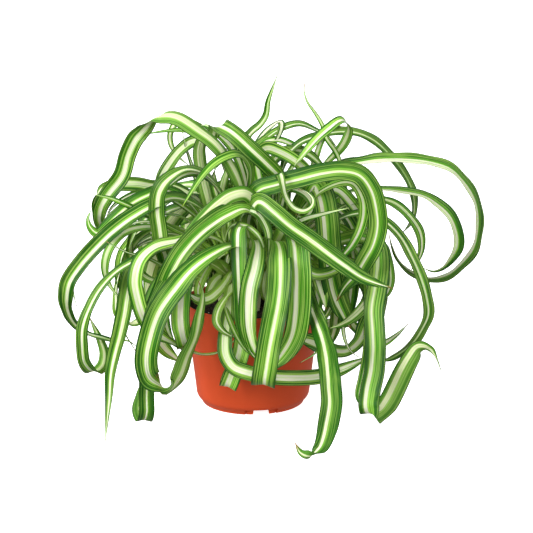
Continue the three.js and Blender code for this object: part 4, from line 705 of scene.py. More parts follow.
def young_leaves(plantlet):
    """Short inner leaves that spring up all round a crown and stay above the pot's rim."""
    draw = np.random.default_rng([SEED, len(CROWNS), list(CROWNS).index(plantlet)])
    leaves = []
    while len(leaves) < YOUNG_LEAVES_EACH:
        width = draw.uniform(*YOUNG_WIDTHS)
        heading = draw.uniform(0, 360)
        ranges = (YOUNG_LENGTHS, YOUNG_LATENESS, YOUNG_BENDS, YOUNG_DRIFTS, YOUNG_TWISTS)
        leaf = far_leaf([plantlet, width, YOUNG_TIP, heading, *[draw.uniform(*ends) for ends in ranges]])
        low = min(point.z for point in leaf["points"][1:])
        reach = max(point.xy.length for point in leaf["points"])
        if low > YOUNG_FLOOR and reach < YOUNG_REACH:
            leaves.append(leaf)
    return leaves


def midrib(points):
    """A smooth run through the points: its places, and the index of each point among them."""
    stops = [2 * points[0] - points[1], *points, 2 * points[-1] - points[-2]]
    places = []
    marks = []
    for i in range(len(points) - 1):
        p0, p1, p2, p3 = (np.array(stops[i + k]) for k in range(4))
        d0, d1, d2 = (math.sqrt(np.linalg.norm(b - a)) for a, b in ((p0, p1), (p1, p2), (p2, p3)))
        t1 = ((p1 - p0) / d0 - (p2 - p0) / (d0 + d1) + (p2 - p1) / d1) * d1
        t2 = ((p2 - p1) / d1 - (p3 - p1) / (d1 + d2) + (p3 - p2) / d2) * d1
        count = max(SAMPLES_PER_SPAN, round(np.linalg.norm(p2 - p1) / SAMPLE_LENGTH))
        marks.append(len(places))
        for k in range(count):
            t = k / count
            places.append(
                p1 + t1 * t + (3 * (p2 - p1) - 2 * t1 - t2) * t ** 2 + (2 * (p1 - p2) + t1 + t2) * t ** 3
            )
    marks.append(len(places))
    places.append(np.array(points[-1]))
    return np.array(places), marks


def face_angles(known, count):
    """The face's turn about the run at every place, eased between the places where it is known."""
    angles = np.zeros(count)
    angles[: known[0][0] + 1] = known[0][1]
    angles[known[-1][0]:] = known[-1][1]
    for (i, start), (k, end) in zip(known, known[1:]):
        angles[i: k + 1] = start + (end - start) * rise(i, k, np.arange(i, k + 1))
    return angles


def leaf_frames(leaf):
    """Places, run, upper face and side along a leaf, and the length reached at each place."""
    places, marks = midrib(leaf["points"])
    count = len(places)
    ahead = places[np.minimum(np.arange(count) + 1, count - 1)]
    behind = places[np.maximum(np.arange(count) - 1, 0)]
    tangents = [Vector(t).normalized() for t in ahead - behind]
    carried = [Vector((-tangents[0].y, tangents[0].x, MM)).cross(tangents[0]).normalized()]
    for before, after in zip(tangents, tangents[1:]):
        step = carried[-1].copy()
        step.rotate(before.rotation_difference(after))
        carried.append(step)
    known = []
    for index, i in enumerate(marks):
        face = leaf["face"](index, tangents[i])
        if face is None:
            continue
        angle = math.atan2(face.dot(tangents[i].cross(carried[i])), face.dot(carried[i]))
        if known:
            angle += FULL_TURN * round((known[-1][1] - angle) / FULL_TURN)
        known.append((i, angle))
    for tangent, face, angle in zip(tangents, carried, face_angles(known, count)):
        face.rotate(Quaternion(tangent, angle))
    sides = [tangent.cross(face) for tangent, face in zip(tangents, carried)]
    lengths = np.concatenate([[0], np.cumsum(np.linalg.norm(np.diff(places, axis=0), axis=1))])
    return places, np.array(tangents), np.array(carried), np.array(sides), lengths


def half_widths(leaf, tangents, sides, lengths):
    """Half width along a leaf: narrow at the root, full along the blade, drawn out at the tip."""
    share = lengths / lengths[-1]
    base = BASE_LENGTH + BASE_LENGTH_SHARE * lengths[-1]
    root = BASE_WIDTH_SHARE + (1 - BASE_WIDTH_SHARE) * rise(0, base, lengths)
    tip = 1 - np.maximum((share - 1 + leaf["tip"]) / leaf["tip"], 0) ** TIP_POWER
    full = np.maximum(leaf["width"] * root * tip, TIP_WIDTH) / 2
    index = np.arange(len(lengths))
    before = np.maximum(index - EDGE_TURN_REACH, 0)
    after = np.minimum(index + EDGE_TURN_REACH, len(lengths) - 1)
    swing = np.abs(np.einsum("ij,ij->i", tangents[after] - tangents[before], sides))
    radius = (lengths[after] - lengths[before]) / np.maximum(swing, LEAST_SWING)
    return np.minimum(full, radius * EDGE_TURN_LIMIT)


def blade_section():
    """Places round a blade's section: across it from -1 to 1, and the signed half thickness there."""
    upper = np.array(ACROSS)
    across = np.concatenate([upper, upper[-2:0:-1]])
    below = np.arange(len(across)) >= len(upper)
    thick = BLADE_EDGE_HALF_THICKNESS + (BLADE_HALF_THICKNESS - BLADE_EDGE_HALF_THICKNESS) * (1 - across ** 2)
    return across, np.where(below, -thick, np.where(np.abs(across) == 1, 0, thick))


def blade(leaf, draw):
    """One blade as rings of points round a thin channelled section, with what its finish needs at each."""
    places, tangents, faces, sides, lengths = leaf_frames(leaf)
    half = half_widths(leaf, tangents, sides, lengths)[:, None]
    share = lengths / lengths[-1]
    own = (draw.uniform(*STRIPE_PLACES), draw.uniform(*STRIPE_SHARES))
    stripe_place, stripe_share = leaf.get("stripe", own)
    deepness = leaf.get("deepness", draw.uniform(*LEAF_DEEPNESS))
    base = 1 - rise(0, CHANNEL_BASE_SHARE, share)
    lift = ((CHANNEL_ALONG + (CHANNEL_AT_BASE - CHANNEL_ALONG) * base) * DEGREE)[:, None]
    across, thick = blade_section()
    ripple_length = draw.uniform(*RIPPLE_LENGTHS)
    phase = draw.uniform(0, FULL_TURN)
    ripple = np.sin(lengths / ripple_length * FULL_TURN + phase)[:, None] * np.sign(across) * across ** 2
    out = half * np.cos(lift) * across
    up = half * (np.sin(lift) * np.abs(across) ** CHANNEL_ROUND + RIPPLE_SHARE * ripple)
    up = up + thick * np.minimum(half * 2, 1)
    rings = places[:, None, :] + sides[:, None, :] * out[..., None] + faces[:, None, :] * up[..., None]
    facts = {
        "across": across,
        "along": share[:, None],
        "run": lengths[:, None] * MM,
        "tone": draw.uniform(),
        "stripe": stripe_share,
        "middle": stripe_place,
        "deepness": deepness,
        "span": half * across * MM,
    }
    return rings, facts


def ring_faces(count, ring, first):
    """Quads round a run of rings of points, and one cap at each end."""
    a = first + np.arange(count - 1)[:, None] * ring + np.arange(ring)[None, :]
    b = first + np.arange(count - 1)[:, None] * ring + (np.arange(ring)[None, :] + 1) % ring
    quads = np.stack([b, a, a + ring, b + ring], axis=-1).reshape(-1, 4)
    start = [first + k for k in range(ring)]
    end = [first + (count - 1) * ring + k for k in reversed(range(ring))]
    return quads.tolist() + [start, end]


def new_piece(name, points, faces, materials, slots=None):
    """A smooth object from points in millimetres about the pot's axis."""
    mesh = bpy.data.meshes.new(name)
    mesh.from_pydata([tuple(p) for p in np.asarray(points) * MM + np.array(POT_AXIS)], [], faces)
    mesh.polygons.foreach_set("use_smooth", [True] * len(mesh.polygons))
    if slots is not None:
        mesh.polygons.foreach_set("material_index", slots)
    mesh.update()
    piece = bpy.data.objects.new(name, mesh)
    for material in materials:
        mesh.materials.append(material)
    bpy.context.scene.collection.objects.link(piece)
    return piece


def edit_mesh(mesh, change):
    """Runs one change on a mesh's faces and edges."""
    bm = bmesh.new()
    bm.from_mesh(mesh)
    change(bm)
    bm.to_mesh(mesh)
    bm.free()


def face_outwards(bm):
    bmesh.ops.recalc_face_normals(bm, faces=bm.faces)


def keep_crisp_edges(bm):
    """Smooth shading, with the edges sharper than an angle left crisp."""
    for face in bm.faces:
        face.smooth = True
    for edge in bm.edges:
        if len(edge.link_faces) == 2:
            edge.smooth = edge.calc_face_angle(0) < CRISP_ANGLE * DEGREE


def crown_rings(place):
    """The crown's ribbed stem: overlapping leaf bases, from inside the mix to where the leaves part."""
    angle = np.arange(CROWN_SIDES) / CROWN_SIDES * FULL_TURN
    height = np.linspace(0, 1, CROWN_RINGS)[:, None]
    wave = np.sin(angle * CROWN_RIBS / 2 + height * CROWN_RIB_TWIST)
    rib = CROWN_GROOVE + CROWN_RIB_DEPTH * np.abs(wave)
    belly = CROWN_NECK + CROWN_BELLY * np.sin(height * math.pi * CROWN_BELLY_REACH)
    closing = np.clip((height - CROWN_CLOSES) / (1 - CROWN_CLOSES), 0, 1)
    radius = CROWN_RADIUS * rib * belly * np.sqrt(np.clip(1 - closing ** 2, CROWN_END, 1))
    z = CROWN_BOTTOM + (CROWN_TOP - CROWN_BOTTOM) * height + 0 * angle
    rings = np.stack([place[0] + radius * np.cos(angle), place[1] + radius * np.sin(angle), z], axis=-1)
    facts = {
        "across": wave,
        "along": height,
        "run": (z - CROWN_BOTTOM) * MM,
        "span": angle * CROWN_RADIUS * MM,
        **CROWN_FACTS,
    }
    return rings, facts


def rosette(plantlet, leaves, materials):
    """One plantlet: its crown and all its leaves, as one piece."""
    draw = np.random.default_rng([SEED, list(CROWNS).index(plantlet)])
    parts = [crown_rings(CROWNS[plantlet])]
    parts += [blade(leaf, draw) for leaf in leaves if leaf["plantlet"] == plantlet]
    points = []
    faces = []
    slots = []
    facts = {name: [] for name in parts[0][1]}
    first = 0
    for place, (rings, part_facts) in enumerate(parts):
        count, ring = rings.shape[:2]
        sides = ring_faces(count, ring, first)
        if place == 0:
            sides = [side[::-1] for side in sides]
            slots += [CROWN_SLOT] * len(sides)
        else:
            below = np.where(np.arange(ring) >= len(ACROSS) - 1, UNDER_SLOT, UPPER_SLOT)
            slots += np.broadcast_to(below, (count - 1, ring)).ravel().tolist() + [UNDER_SLOT] * 2
        faces += sides
        points.append(rings.reshape(-1, 3))
        for name, values in part_facts.items():
            facts[name].append(np.broadcast_to(values, (count, ring)).ravel())
        first += count * ring
    piece = new_piece(f"leaves_{plantlet}", np.concatenate(points), faces, materials, slots)
    for name, values in facts.items():
        attribute = piece.data.attributes.new(name, "FLOAT", "POINT")
        attribute.data.foreach_set("value", np.concatenate(values).astype(np.float32))
    mark_rims(piece.data)
    return piece


def mark_rims(mesh):
    """The two rims of each blade are sharp, so that the light breaks there."""
    across = np.empty(len(mesh.vertices), dtype=np.float32)
    mesh.attributes["across"].data.foreach_get("value", across)
    ends = np.empty(len(mesh.edges) * 2, dtype=np.int32)
    mesh.edges.foreach_get("vertices", ends)
    pairs = across[ends.reshape(-1, 2)]
    rim = (np.abs(pairs[:, 0]) == 1) & (pairs[:, 0] == pairs[:, 1])
    mesh.attributes.new("sharp_edge", "BOOLEAN", "EDGE").data.foreach_set("value", rim)


def turned(x, y, z, turn):
    """A point turned about the pot's axis."""
    point = Vector((x, y, z))
    point.rotate(Quaternion((0, 0, 1), turn))
    return point


def lathe(profile, sides):
    """Points and faces of a turned body, from its closed profile of (radius, height)."""
    angle = np.arange(sides) / sides * FULL_TURN
    r, z = np.array(profile, dtype=float).T[..., None]
    points = np.stack([r * np.cos(angle), r * np.sin(angle), z + 0 * angle], axis=-1).reshape(-1, 3)
    faces = []
    for i in range(len(profile)):
        k = (i + 1) % len(profile)
        for j in range(sides):
            n = (j + 1) % sides
            faces.append([i * sides + j, i * sides + n, k * sides + n, k * sides + j])
    return points, faces


def wall_radius(height):
    """Outer radius of the pot's tapered wall at a height."""
    share = (height - POT_BODY_BASE_HEIGHT) / (POT_HEIGHT - POT_BODY_BASE_HEIGHT)
    return POT_BODY_BASE_RADIUS + (POT_RIM_RADIUS - POT_BODY_BASE_RADIUS) * share


def rounded(corner, before, after, radius, steps):
    """Points that round off a corner of a profile."""
    corner, before, after = (np.array(p, dtype=float) for p in (corner, before, after))
    a = corner + (before - corner) / np.linalg.norm(before - corner) * radius
    b = corner + (after - corner) / np.linalg.norm(after - corner) * radius
    return [(1 - t) ** 2 * a + 2 * t * (1 - t) * corner + t * t * b for t in np.linspace(0, 1, steps)]


def pot_profile():
    """The pot's lip, tapered wall, stepped-in foot ring and raised floor, as one closed profile."""
    floor_top = FLOOR_HEIGHT + FLOOR_THICKNESS
    inner_foot = POT_FOOT_RADIUS - FOOT_WALL
    lip_radius = POT_RIM_RADIUS + LIP_PROUD
    lip_low = POT_HEIGHT - LIP_HEIGHT
    wall = np.linspace(WALL_FIRST_RING, lip_low - WALL_LAST_RING, WALL_RINGS)
    # Radius, height, size of the rounding and its points
    corners = [
        (POT_CENTRE, FLOOR_HEIGHT, 0, 1),
        (inner_foot, FLOOR_HEIGHT, 1.5, 5),
        (inner_foot, 0, 0.4, 3),
        (POT_FOOT_RADIUS, 0, 0.5, 4),
        (POT_FOOT_RADIUS + POT_FOOT_DRAFT, POT_FOOT_TOP, 1, 4),
        (POT_BODY_BASE_RADIUS, POT_BODY_BASE_HEIGHT, 3, 6),
        *[(wall_radius(z), z, 0, 1) for z in wall],
        (wall_radius(lip_low), lip_low, 0.2, 3),
        (lip_radius, lip_low + LIP_UNDERSIDE, 0.4, 4),
        (lip_radius, POT_HEIGHT, 0.7, 5),
        (lip_radius - POT_WALL, POT_HEIGHT, 0.7, 5),
        (wall_radius(lip_low) - POT_WALL, lip_low, 1, 4),
        (wall_radius(floor_top) - POT_WALL, floor_top, 3, 5),
        (POT_CENTRE, floor_top, 0, 1),
    ]
    profile = []
    for i, (*corner, radius, steps) in enumerate(corners):
        after = corners[(i + 1) % len(corners)]
        profile += rounded(corner, corners[i - 1][:2], after[:2], radius, steps)
    return profile


def block(sections):
    """A cutting block from a run of sections with the same number of points."""
    points = [tuple(point) for section in sections for point in section]
    return points, ring_faces(len(sections), len(sections[0]), 0)


def notch(turn):
    """A cutting block for one foot notch, which tapers upwards, across the foot ring."""
    low, high = NOTCH_WIDTHS
    near, far = NOTCH_REACH
    outline = ((-low, -CUT_BELOW), (low, -CUT_BELOW), (high, NOTCH_HEIGHT), (-high, NOTCH_HEIGHT))
    ends = (near - POT_FOOT_RADIUS, -far - POT_FOOT_RADIUS)
    return block([[turned(width / 2, y, z, turn) for width, z in outline] for y in ends])


def tab_recess(width, set_in, turn, place=0):
    """A cutting block that follows the foot ring for a width along it."""
    near = POT_FOOT_RADIUS - set_in
    far = POT_FOOT_RADIUS + TAB_REACH
    outline = ((near, -CUT_BELOW), (far, -CUT_BELOW), (far, TAB_HEIGHT), (near, TAB_HEIGHT))
    angles = turn + (place + width * np.linspace(-0.5, 0.5, ARC_STEPS + 1)) / POT_FOOT_RADIUS
    return block([[turned(0, -reach, z, angle) for reach, z in outline] for angle in angles])


def drain(turn):
    """A cutting plug for one drain hole."""
    angle = np.arange(DRAIN_SIDES) / DRAIN_SIDES * FULL_TURN
    outline = list(zip(DRAIN_RADIUS * np.cos(angle), DRAIN_RADIUS * np.sin(angle) - DRAIN_CIRCLE))
    ends = (FLOOR_HEIGHT - DRAIN_PAST_FLOOR, FLOOR_HEIGHT + FLOOR_THICKNESS + DRAIN_PAST_FLOOR)
    return block([[turned(x, y, z, turn) for x, y in outline] for z in ends])


def cut(piece, blocks):
    """Takes the given blocks out of a piece."""
    for points, faces in blocks:
        cutter = new_piece("cutter", points, faces, [])
        edit_mesh(cutter.data, face_outwards)
        boolean = piece.modifiers.new("cut", "BOOLEAN")
        boolean.operation = "DIFFERENCE"
        boolean.solver = "EXACT"
        boolean.object = cutter
        evaluated = piece.evaluated_get(bpy.context.evaluated_depsgraph_get())
        cut_mesh = bpy.data.meshes.new_from_object(evaluated)
        piece.modifiers.clear()
        piece.data = cut_mesh
        bpy.data.objects.remove(cutter)


def make_pot(material):
    """The moulded pot, with its notched foot ring, tabs beside each notch and drain holes."""
    points, faces = lathe(pot_profile(), POT_SIDES)
    piece = new_piece("nursery_pot", points, faces, [material])
    edit_mesh(piece.data, face_outwards)
    blocks = []
    for i in range(FOOT_NOTCHES):
        turn = NOTCH_TURN * DEGREE + i * FULL_TURN / FOOT_NOTCHES
        blocks.append(tab_recess(TAB_WIDTH, TAB_SET_IN, turn))
        for end in (-1, 1):
            blocks.append(tab_recess(TAB_GROOVE, TAB_GROOVE_DEPTH, turn, end * (TAB_WIDTH - TAB_GROOVE) / 2))
        blocks.append(notch(turn))
    blocks += [drain((i + 0.5) * FULL_TURN / DRAIN_HOLES) for i in range(DRAIN_HOLES)]
    cut(piece, blocks)
    edit_mesh(piece.data, keep_crisp_edges)
    return piece


def crossed_waves(x, y, waves):
    """Two crossed runs of waves, each bent by the other's direction."""
    a, bend_a, by_a, b, bend_b, by_b = waves
    return np.sin(x * a + bend_a * np.sin(y * by_a)) * np.sin(y * b + bend_b * np.sin(x * by_b))


def soil_height(x, y, radius):
    """Height of the mix's surface: a low mound with clods, and a crumbly skin."""
    mound = SOIL_MOUND * (1 - (x * x + y * y) / radius ** 2)
    by_x, shift, by_y = CLOD_WAVES
    share, across_x, across_y = CLOD_RIDGES
    clods = np.sin(x * by_x + shift) * np.sin(y * by_y) + share * np.sin(x * across_x - y * across_y)
    skin = SKIN * crossed_waves(x, y, SKIN_WAVES) + GRAIN * crossed_waves(x, y, GRAIN_WAVES)
    return SOIL_TOP + mound + CLODS * clods + skin


def crumb(draw, centre, size):
    """One crumb: a lumpy little block, pressed into the mix."""
    bm = bmesh.new()
    bmesh.ops.create_icosphere(bm, subdivisions=1, radius=size / 2)
    stretch = Vector(draw.uniform(*CRUMB_STRETCH, 3))
    spin = Quaternion(Vector(draw.normal(size=3)).normalized(), draw.uniform(0, FULL_TURN))
    points = [spin @ Vector(v.co * stretch * draw.uniform(*CRUMB_LUMPS)) + centre for v in bm.verts]
    faces = [[v.index for v in face.verts] for face in bm.faces]
    bm.free()
    return points, faces


def make_soil(materials):
    """The mix's crumbly surface with loose crumbs and white grains, closed below."""
    draw = np.random.default_rng(SEED)
    radius = wall_radius(SOIL_TOP) - POT_WALL - SOIL_GAP
    low = FLOOR_HEIGHT + FLOOR_THICKNESS + SOIL_GAP
    low_radius = wall_radius(low) - POT_WALL - SOIL_GAP
    rings = radius * np.sqrt(np.linspace(0, 1, SOIL_RINGS + 1))[1:, None]
    angle = np.arange(SOIL_SIDES) / SOIL_SIDES * FULL_TURN
    x = rings * np.cos(angle)
    y = rings * np.sin(angle)
    top = np.stack([x, y, soil_height(x, y, radius)], axis=-1).reshape(-1, 3).tolist()
    bottom = [[low_radius * math.cos(a), low_radius * math.sin(a), low] for a in angle]
    points = [*top, *bottom, [0, 0, float(soil_height(0.0, 0.0, radius))]]
    centre = len(points) - 1
    faces = []
    for j in range(SOIL_SIDES):
        n = (j + 1) % SOIL_SIDES
        faces.append([centre, j, n])
        for first in range(0, SOIL_RINGS * SOIL_SIDES, SOIL_SIDES):
            after = first + SOIL_SIDES
            faces.append([first + j, after + j, after + n, first + n])
    faces.append([SOIL_RINGS * SOIL_SIDES + j for j in reversed(range(SOIL_SIDES))])
    slots = [0] * len(faces)
    for _ in range(CRUMBS):
        spot = radius * math.sqrt(draw.uniform()) * CRUMB_REACH
        turn = draw.uniform(0, FULL_TURN)
        size = draw.uniform(*CRUMB_SIZES)
        x, y = spot * math.cos(turn), spot * math.sin(turn)
        white = draw.uniform() < PERLITE_SHARE
        place = Vector((x, y, float(soil_height(x, y, radius)) + size * CRUMB_LIFT))
        corners, sides = crumb(draw, place, size)
        faces += [[len(points) + k for k in side] for side in sides]
        points += [list(p) for p in corners]
        slots += [int(white)] * len(sides)
    return new_piece("potting_mix", points, faces, materials, slots)


def colour(red, green, blue):
    """A colour as seen, from 0 to 255, in the renderer's own light values."""
    values = [c / 255 for c in (red, green, blue)]
    return (*[v / 12.92 if v <= 0.04045 else ((v + 0.055) / 1.055) ** 2.4 for v in values], 1)


class Finish:
    """The nodes of a material or of the room's light: makes them, sets them and links them."""

    def __init__(self, owner):
        owner.use_nodes = True
        self.owner = owner
        self.tree = owner.node_tree
        self.tree.nodes.clear()

    def node(self, kind, settings=None, numbered=None, **named):
        """A node of one kind: its settings first, then its sockets' values or links by number and name."""
        made = self.tree.nodes.new(kind)
        for key, value in (settings or {}).items():
            if key == "stops":
                self.set_stops(made.color_ramp.elements, value)
            else:
                setattr(made, key, value)
        for key, value in (numbered or {}).items():
            self.fill(made.inputs[key], value)
        for key, value in named.items():
            self.fill(made.inputs[key.replace("_", " ")], value)
        return made

    def set_stops(self, band, stops):
        """Sets a ramp's stops, each a place and a level of white."""
        while len(band) < len(stops):
            band.new(1)
        for stop, (place, level) in zip(band, stops):
            stop.position = place
            stop.color = (level, level, level, 1)

    def fill(self, socket, value):
        """Links a value to a socket, or sets it."""
        if isinstance(value, Wire):
            self.tree.links.new(value.socket, socket)
        else:
            socket.default_value = value

    def wire(self, kind, settings=None, numbered=None, output=0, **named):
        """One output of a new node."""
        return Wire(self, self.node(kind, settings, numbered, **named).outputs[output])

    def fact(self, name):
        """A number that the mesh carries at each point."""
        return self.wire("ShaderNodeAttribute", {"attribute_name": name}, output=NUMBER_OUTPUT)

    def on_object(self):
        """The place on the object, in metres."""
        return self.wire("ShaderNodeTexCoord", output=OBJECT_OUTPUT)

    def place(self, x, y=0.0, z=0.0):
        """A place made of three numbers."""
        return self.wire("ShaderNodeCombineXYZ", X=x, Y=y, Z=z)

    def noise(self, place, scale=1.0, detail=2.0, roughness=0.5):
        """Soft noise from 0 to 1."""
        return self.wire("ShaderNodeTexNoise", Vector=place, Scale=scale, Detail=detail, Roughness=roughness)

    def rise(self, value, low, high):
        """Soft rise from 0 to 1 between two values."""
        settings = {"interpolation_type": "SMOOTHSTEP"}
        return self.wire("ShaderNodeMapRange", settings, Value=value, From_Min=low, From_Max=high)

    def blend(self, share, first, second):
        """A colour between two, each a link or a colour as seen."""
        first, second = (c if isinstance(c, Wire) else colour(*c) for c in (first, second))
        sockets = {MIX_SHARE: share, MIX_FIRST: first, MIX_SECOND: second}
        return self.wire("ShaderNodeMix", {"data_type": "RGBA"}, sockets, MIX_COLOUR)

    def bump(self, height, distance, strength):
        """A surface relief, with its depth in metres."""
        return self.wire("ShaderNodeBump", Height=height, Distance=distance, Strength=strength)

    def done(self, **sockets):
        """Ends in one Principled shader with these sockets."""
        self.node("ShaderNodeOutputMaterial", Surface=self.wire("ShaderNodeBsdfPrincipled", **sockets))
        return self.owner


class Wire:
    """One socket's number, for sums in plain expressions."""

    def __init__(self, finish, socket):
        self.finish = finish
        self.socket = socket

    def maths(self, operation, *others):
        return self.finish.wire("ShaderNodeMath", {"operation": operation}, dict(enumerate((self, *others))))

    def __add__(self, other):
        return self.maths("ADD", other)

    __radd__ = __add__

    def __mul__(self, other):
        return self.maths("MULTIPLY", other)

    __rmul__ = __mul__

    def __sub__(self, other):
        return self.maths("SUBTRACT", other)

    def __rsub__(self, other):
        return (self * -1) + other

    def swing(self):
        """A share from 0 to 1, moved to either side of zero."""
        return self - 0.5

    def size(self):
        return self.maths("ABSOLUTE")

    def wave(self):
        return self.maths("SINE")


def new_finish(name):
    return Finish(bpy.data.materials.new(name))


def leaf_face(name, shades, widening, roughness):
    """A leaf's face: an ivory stripe, lime bands beside it and green margins, all in fine long lines."""
    f = new_finish(name)
    across = f.fact("across")
    run = f.fact("run")
    tone = f.fact("tone")
    span = f.fact("span")
    deepness = f.fact("deepness")
    paleness = 1 - deepness
    stripe = f.fact("stripe") * widening
    own = tone * LEAVES_APART

    wander = f.noise(f.place(run * WANDER_ALONG, own)).swing()
    patch = f.noise(f.place(run * PATCH_ALONG, across, own + PATCH_OFFSET))
    grains = {}
    for kind, (wide, long, offset, detail, rough) in LEAF_GRAINS.items():
        grains[kind] = f.noise(f.place(span * wide, run * long, own + offset), 1, detail, rough)
    fray = grains["streaks"].swing()

    def lines(face, rows):
        """Draws rows of long lines over a colour."""
        for kind, low, high, strength, more, shade in rows:
            share = f.rise(grains[kind], low, high) * (strength + paleness * more)
            face = f.blend(share, face, shades[shade])
        return face

    off = (across - f.fact("middle") + wander * STRIPE_WANDER).size() + fray * STRIPE_FRAY
    lime_low, lime_high = LIME_BAND
    lime_most, lime_less = LIME_STRENGTH
    lime = (1 - f.rise(off, stripe + lime_low, stripe + lime_high)) * (lime_most - deepness * lime_less)
    deep = f.rise(across.size() + fray * DEEP_FRAY + deepness.swing() * DEEPNESS_SHIFT, *DEEP_BAND)
    greens = f.blend(lime, f.blend(deep, shades["mid"], shades["deep"]), shades["lime"])
    green_share = f.rise(off, stripe - STRIPE_EDGE, stripe + STRIPE_EDGE)
    face = f.blend(green_share, lines(shades["ivory"], IVORY_LINES), lines(greens, GREEN_LINES))
    # Painted shade: a dark line along each blade's two rims
    face = f.blend(f.rise(across.size(), *RIM_SHADE_BAND) * RIM_SHADE_STRENGTH, face, RIM_SHADE_GREEN)
    face = f.blend((1 - f.rise(run, *ROOT_BAND)) * ROOT_STRENGTH, face, ROOT_PALE)
    face = f.blend(f.rise(patch, *PATCH_BAND) * PATCH_STRENGTH, face, shades["lime"])
    dry = f.rise(f.fact("along") + patch.swing() * DRY_FRAY, *DRY_BAND) * f.rise(tone, *DRY_LEAVES)
    face = f.blend(dry, face, DRY_TIP)
    ribs = (span * RIB_GRAIN + wander * RIB_WANDER).wave() * RIB_SHARE + grains["fine"] * FINE_SHARE
    return f.done(
        Base_Color=face, Roughness=roughness + grains["fine"].swing() * ROUGHNESS_SPREAD,
        Normal=f.bump(ribs, *RIB_RELIEF), Specular_IOR_Level=LEAF_GLOSS,
        Subsurface_Weight=LEAF_DEPTH, Subsurface_Radius=LEAF_DEPTH_REACH, Subsurface_Scale=MM,
    )


def crown_finish():
    """Leaf bases: nearly white at the mix, pale yellow-green above, with fine upright ribs."""
    f = new_finish("crown")
    run = f.fact("run")
    wide, long = CROWN_GRAIN
    fine = f.noise(f.place(f.fact("span") * wide, run * long))
    face = f.blend(f.rise(run, *CROWN_BAND), CROWN_WHITE, CROWN_GREEN)
    face = f.blend(f.rise(fine, *CROWN_RIB_BAND) * CROWN_RIB_STRENGTH, face, UPPER_FACE["mid"])
    return f.done(Base_Color=face, Roughness=CROWN_ROUGHNESS, Normal=f.bump(fine, *CROWN_RELIEF))


def pot_finish():
    """Moulded terracotta-coloured plastic: even colour, a slight mottle, a fine moulding grain."""
    f = new_finish("pot_plastic")
    where = f.on_object()
    mottle = f.noise(where, *POT_MOTTLE)
    smooth, uneven = POT_ROUGHNESS
    return f.done(
        Base_Color=f.blend(mottle, *POT_COLOURS), Roughness=smooth + mottle * uneven,
        Normal=f.bump(f.noise(where, *POT_GRAIN), *POT_RELIEF), Specular_IOR_Level=POT_GLOSS,
    )


def mix_finish():
    """Damp potting mix: nearly black-brown, with browner fibres."""
    f = new_finish("potting_mix")
    where = f.on_object()
    lumps = f.noise(where, *MIX_LUMPS)
    fibres = f.noise(where, *MIX_FIBRES)
    face = f.blend(f.rise(lumps, *LUMP_BAND), *MIX_COLOURS)
    face = f.blend(f.rise(fibres, *FIBRE_BAND) * FIBRE_STRENGTH, face, FIBRE_COLOUR)
    return f.done(Base_Color=face, Roughness=MIX_ROUGHNESS, Normal=f.bump(fibres + lumps, *MIX_RELIEF))


def perlite_finish():
    """White mineral grains."""
    f = new_finish("perlite")
    pores = f.noise(f.on_object(), *PERLITE_PORES)
    return f.done(
        Base_Color=f.blend(pores, *PERLITE_COLOURS), Roughness=PERLITE_ROUGHNESS,
        Normal=f.bump(pores, *PERLITE_RELIEF),
    )


def make_floor():
    """A plain white floor, lit evenly from within. It sends no light up to the plant."""
    half = FLOOR_SIZE / 2
    mesh = bpy.data.meshes.new("floor")
    corners = [(-half, -half, 0), (half, -half, 0), (half, half, 0), (-half, half, 0)]
    mesh.from_pydata(corners, [], [[0, 1, 2, 3]])
    floor = bpy.data.objects.new("floor", mesh)
    floor.visible_diffuse = False
    floor.visible_glossy = False
    bpy.context.scene.collection.objects.link(floor)
    white = colour(*WHITE)
    mesh.materials.append(new_finish("white_floor").done(
        Base_Color=white, Roughness=1, Emission_Color=white, Emission_Strength=FLOOR_GLOW,
    ))


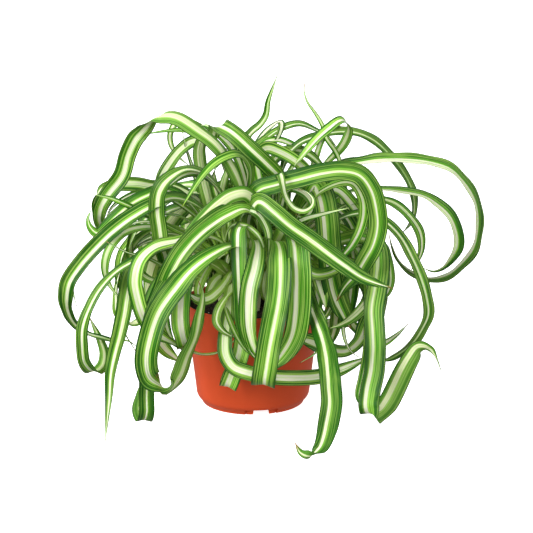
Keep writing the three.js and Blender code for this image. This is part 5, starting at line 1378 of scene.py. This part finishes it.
def make_room():
    """A room that is white at the horizon, softly lit above and dim below."""
    room = Finish(bpy.data.worlds.new("room"))
    facing = room.wire("ShaderNodeTexCoord", output="Generated")
    up = room.wire("ShaderNodeSeparateXYZ", output="Z", Vector=facing)
    height = room.wire("ShaderNodeMapRange", Value=up, From_Min=-1)
    light = room.wire("ShaderNodeValToRGB", {"stops": ROOM_LEVELS}, Fac=height)
    room.node("ShaderNodeOutputWorld", Surface=room.wire("ShaderNodeBackground", Color=light))
    bpy.context.scene.world = room.owner


def aim(name, data, place, target):
    """Puts a light or the camera at a place, facing another."""
    made = bpy.data.objects.new(name, data)
    made.location = place
    made.rotation_mode = "QUATERNION"
    made.rotation_quaternion = (target - made.location).to_track_quat("-Z", "Y")
    bpy.context.scene.collection.objects.link(made)
    return made


def make_studio():
    """A soft room, a white floor, a key light from the front left and a weak one from in front."""
    make_room()
    make_floor()
    for name, (place, power) in LAMPS.items():
        lamp = bpy.data.lights.new(name, "AREA")
        lamp.energy = power
        lamp.size = LAMP_SIZE
        aim(name, lamp, Vector(place), POT_AXIS + Vector((0, 0, SIGHT_HEIGHT)) * MM)
    bpy.context.scene.view_settings.view_transform = "Standard"


def make_camera():
    """The camera at the photograph's own place."""
    data = bpy.data.cameras.new("camera")
    data.lens = LENS
    data.sensor_width = SENSOR
    target = POT_AXIS + Vector((SIGHT_ACROSS, 0, SIGHT_HEIGHT + AIM_LIFT)) * MM
    bpy.context.scene.camera = aim("camera", data, POT_AXIS + EYE * MM, target)


def place_piece(piece, slot, *nodes):
    """Sets a piece on the part's one body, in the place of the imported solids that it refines."""
    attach(piece, "root")
    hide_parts(*nodes)


make_camera()
make_studio()
LEAF_FINISHES = [
    leaf_face("leaf_upper", UPPER_FACE, *UPPER_LOOK),
    leaf_face("leaf_under", UNDER_FACE, *UNDER_LOOK),
    crown_finish(),
]
LEAVES = [
    *shown_leaves(),
    *[turned_leaf(row) for row in TURNED_LEAVES],
    *[far_leaf(row) for row in FAR_LEAVES],
    *[leaf for plantlet in CROWNS for leaf in young_leaves(plantlet)],
]
for plantlet in CROWNS:
    place_piece(rosette(plantlet, LEAVES, LEAF_FINISHES), "leaf", f"rosette_{plantlet}")
place_piece(make_soil([mix_finish(), perlite_finish()]), "soil", "soil")
place_piece(make_pot(pot_finish()), "pot", "pot")
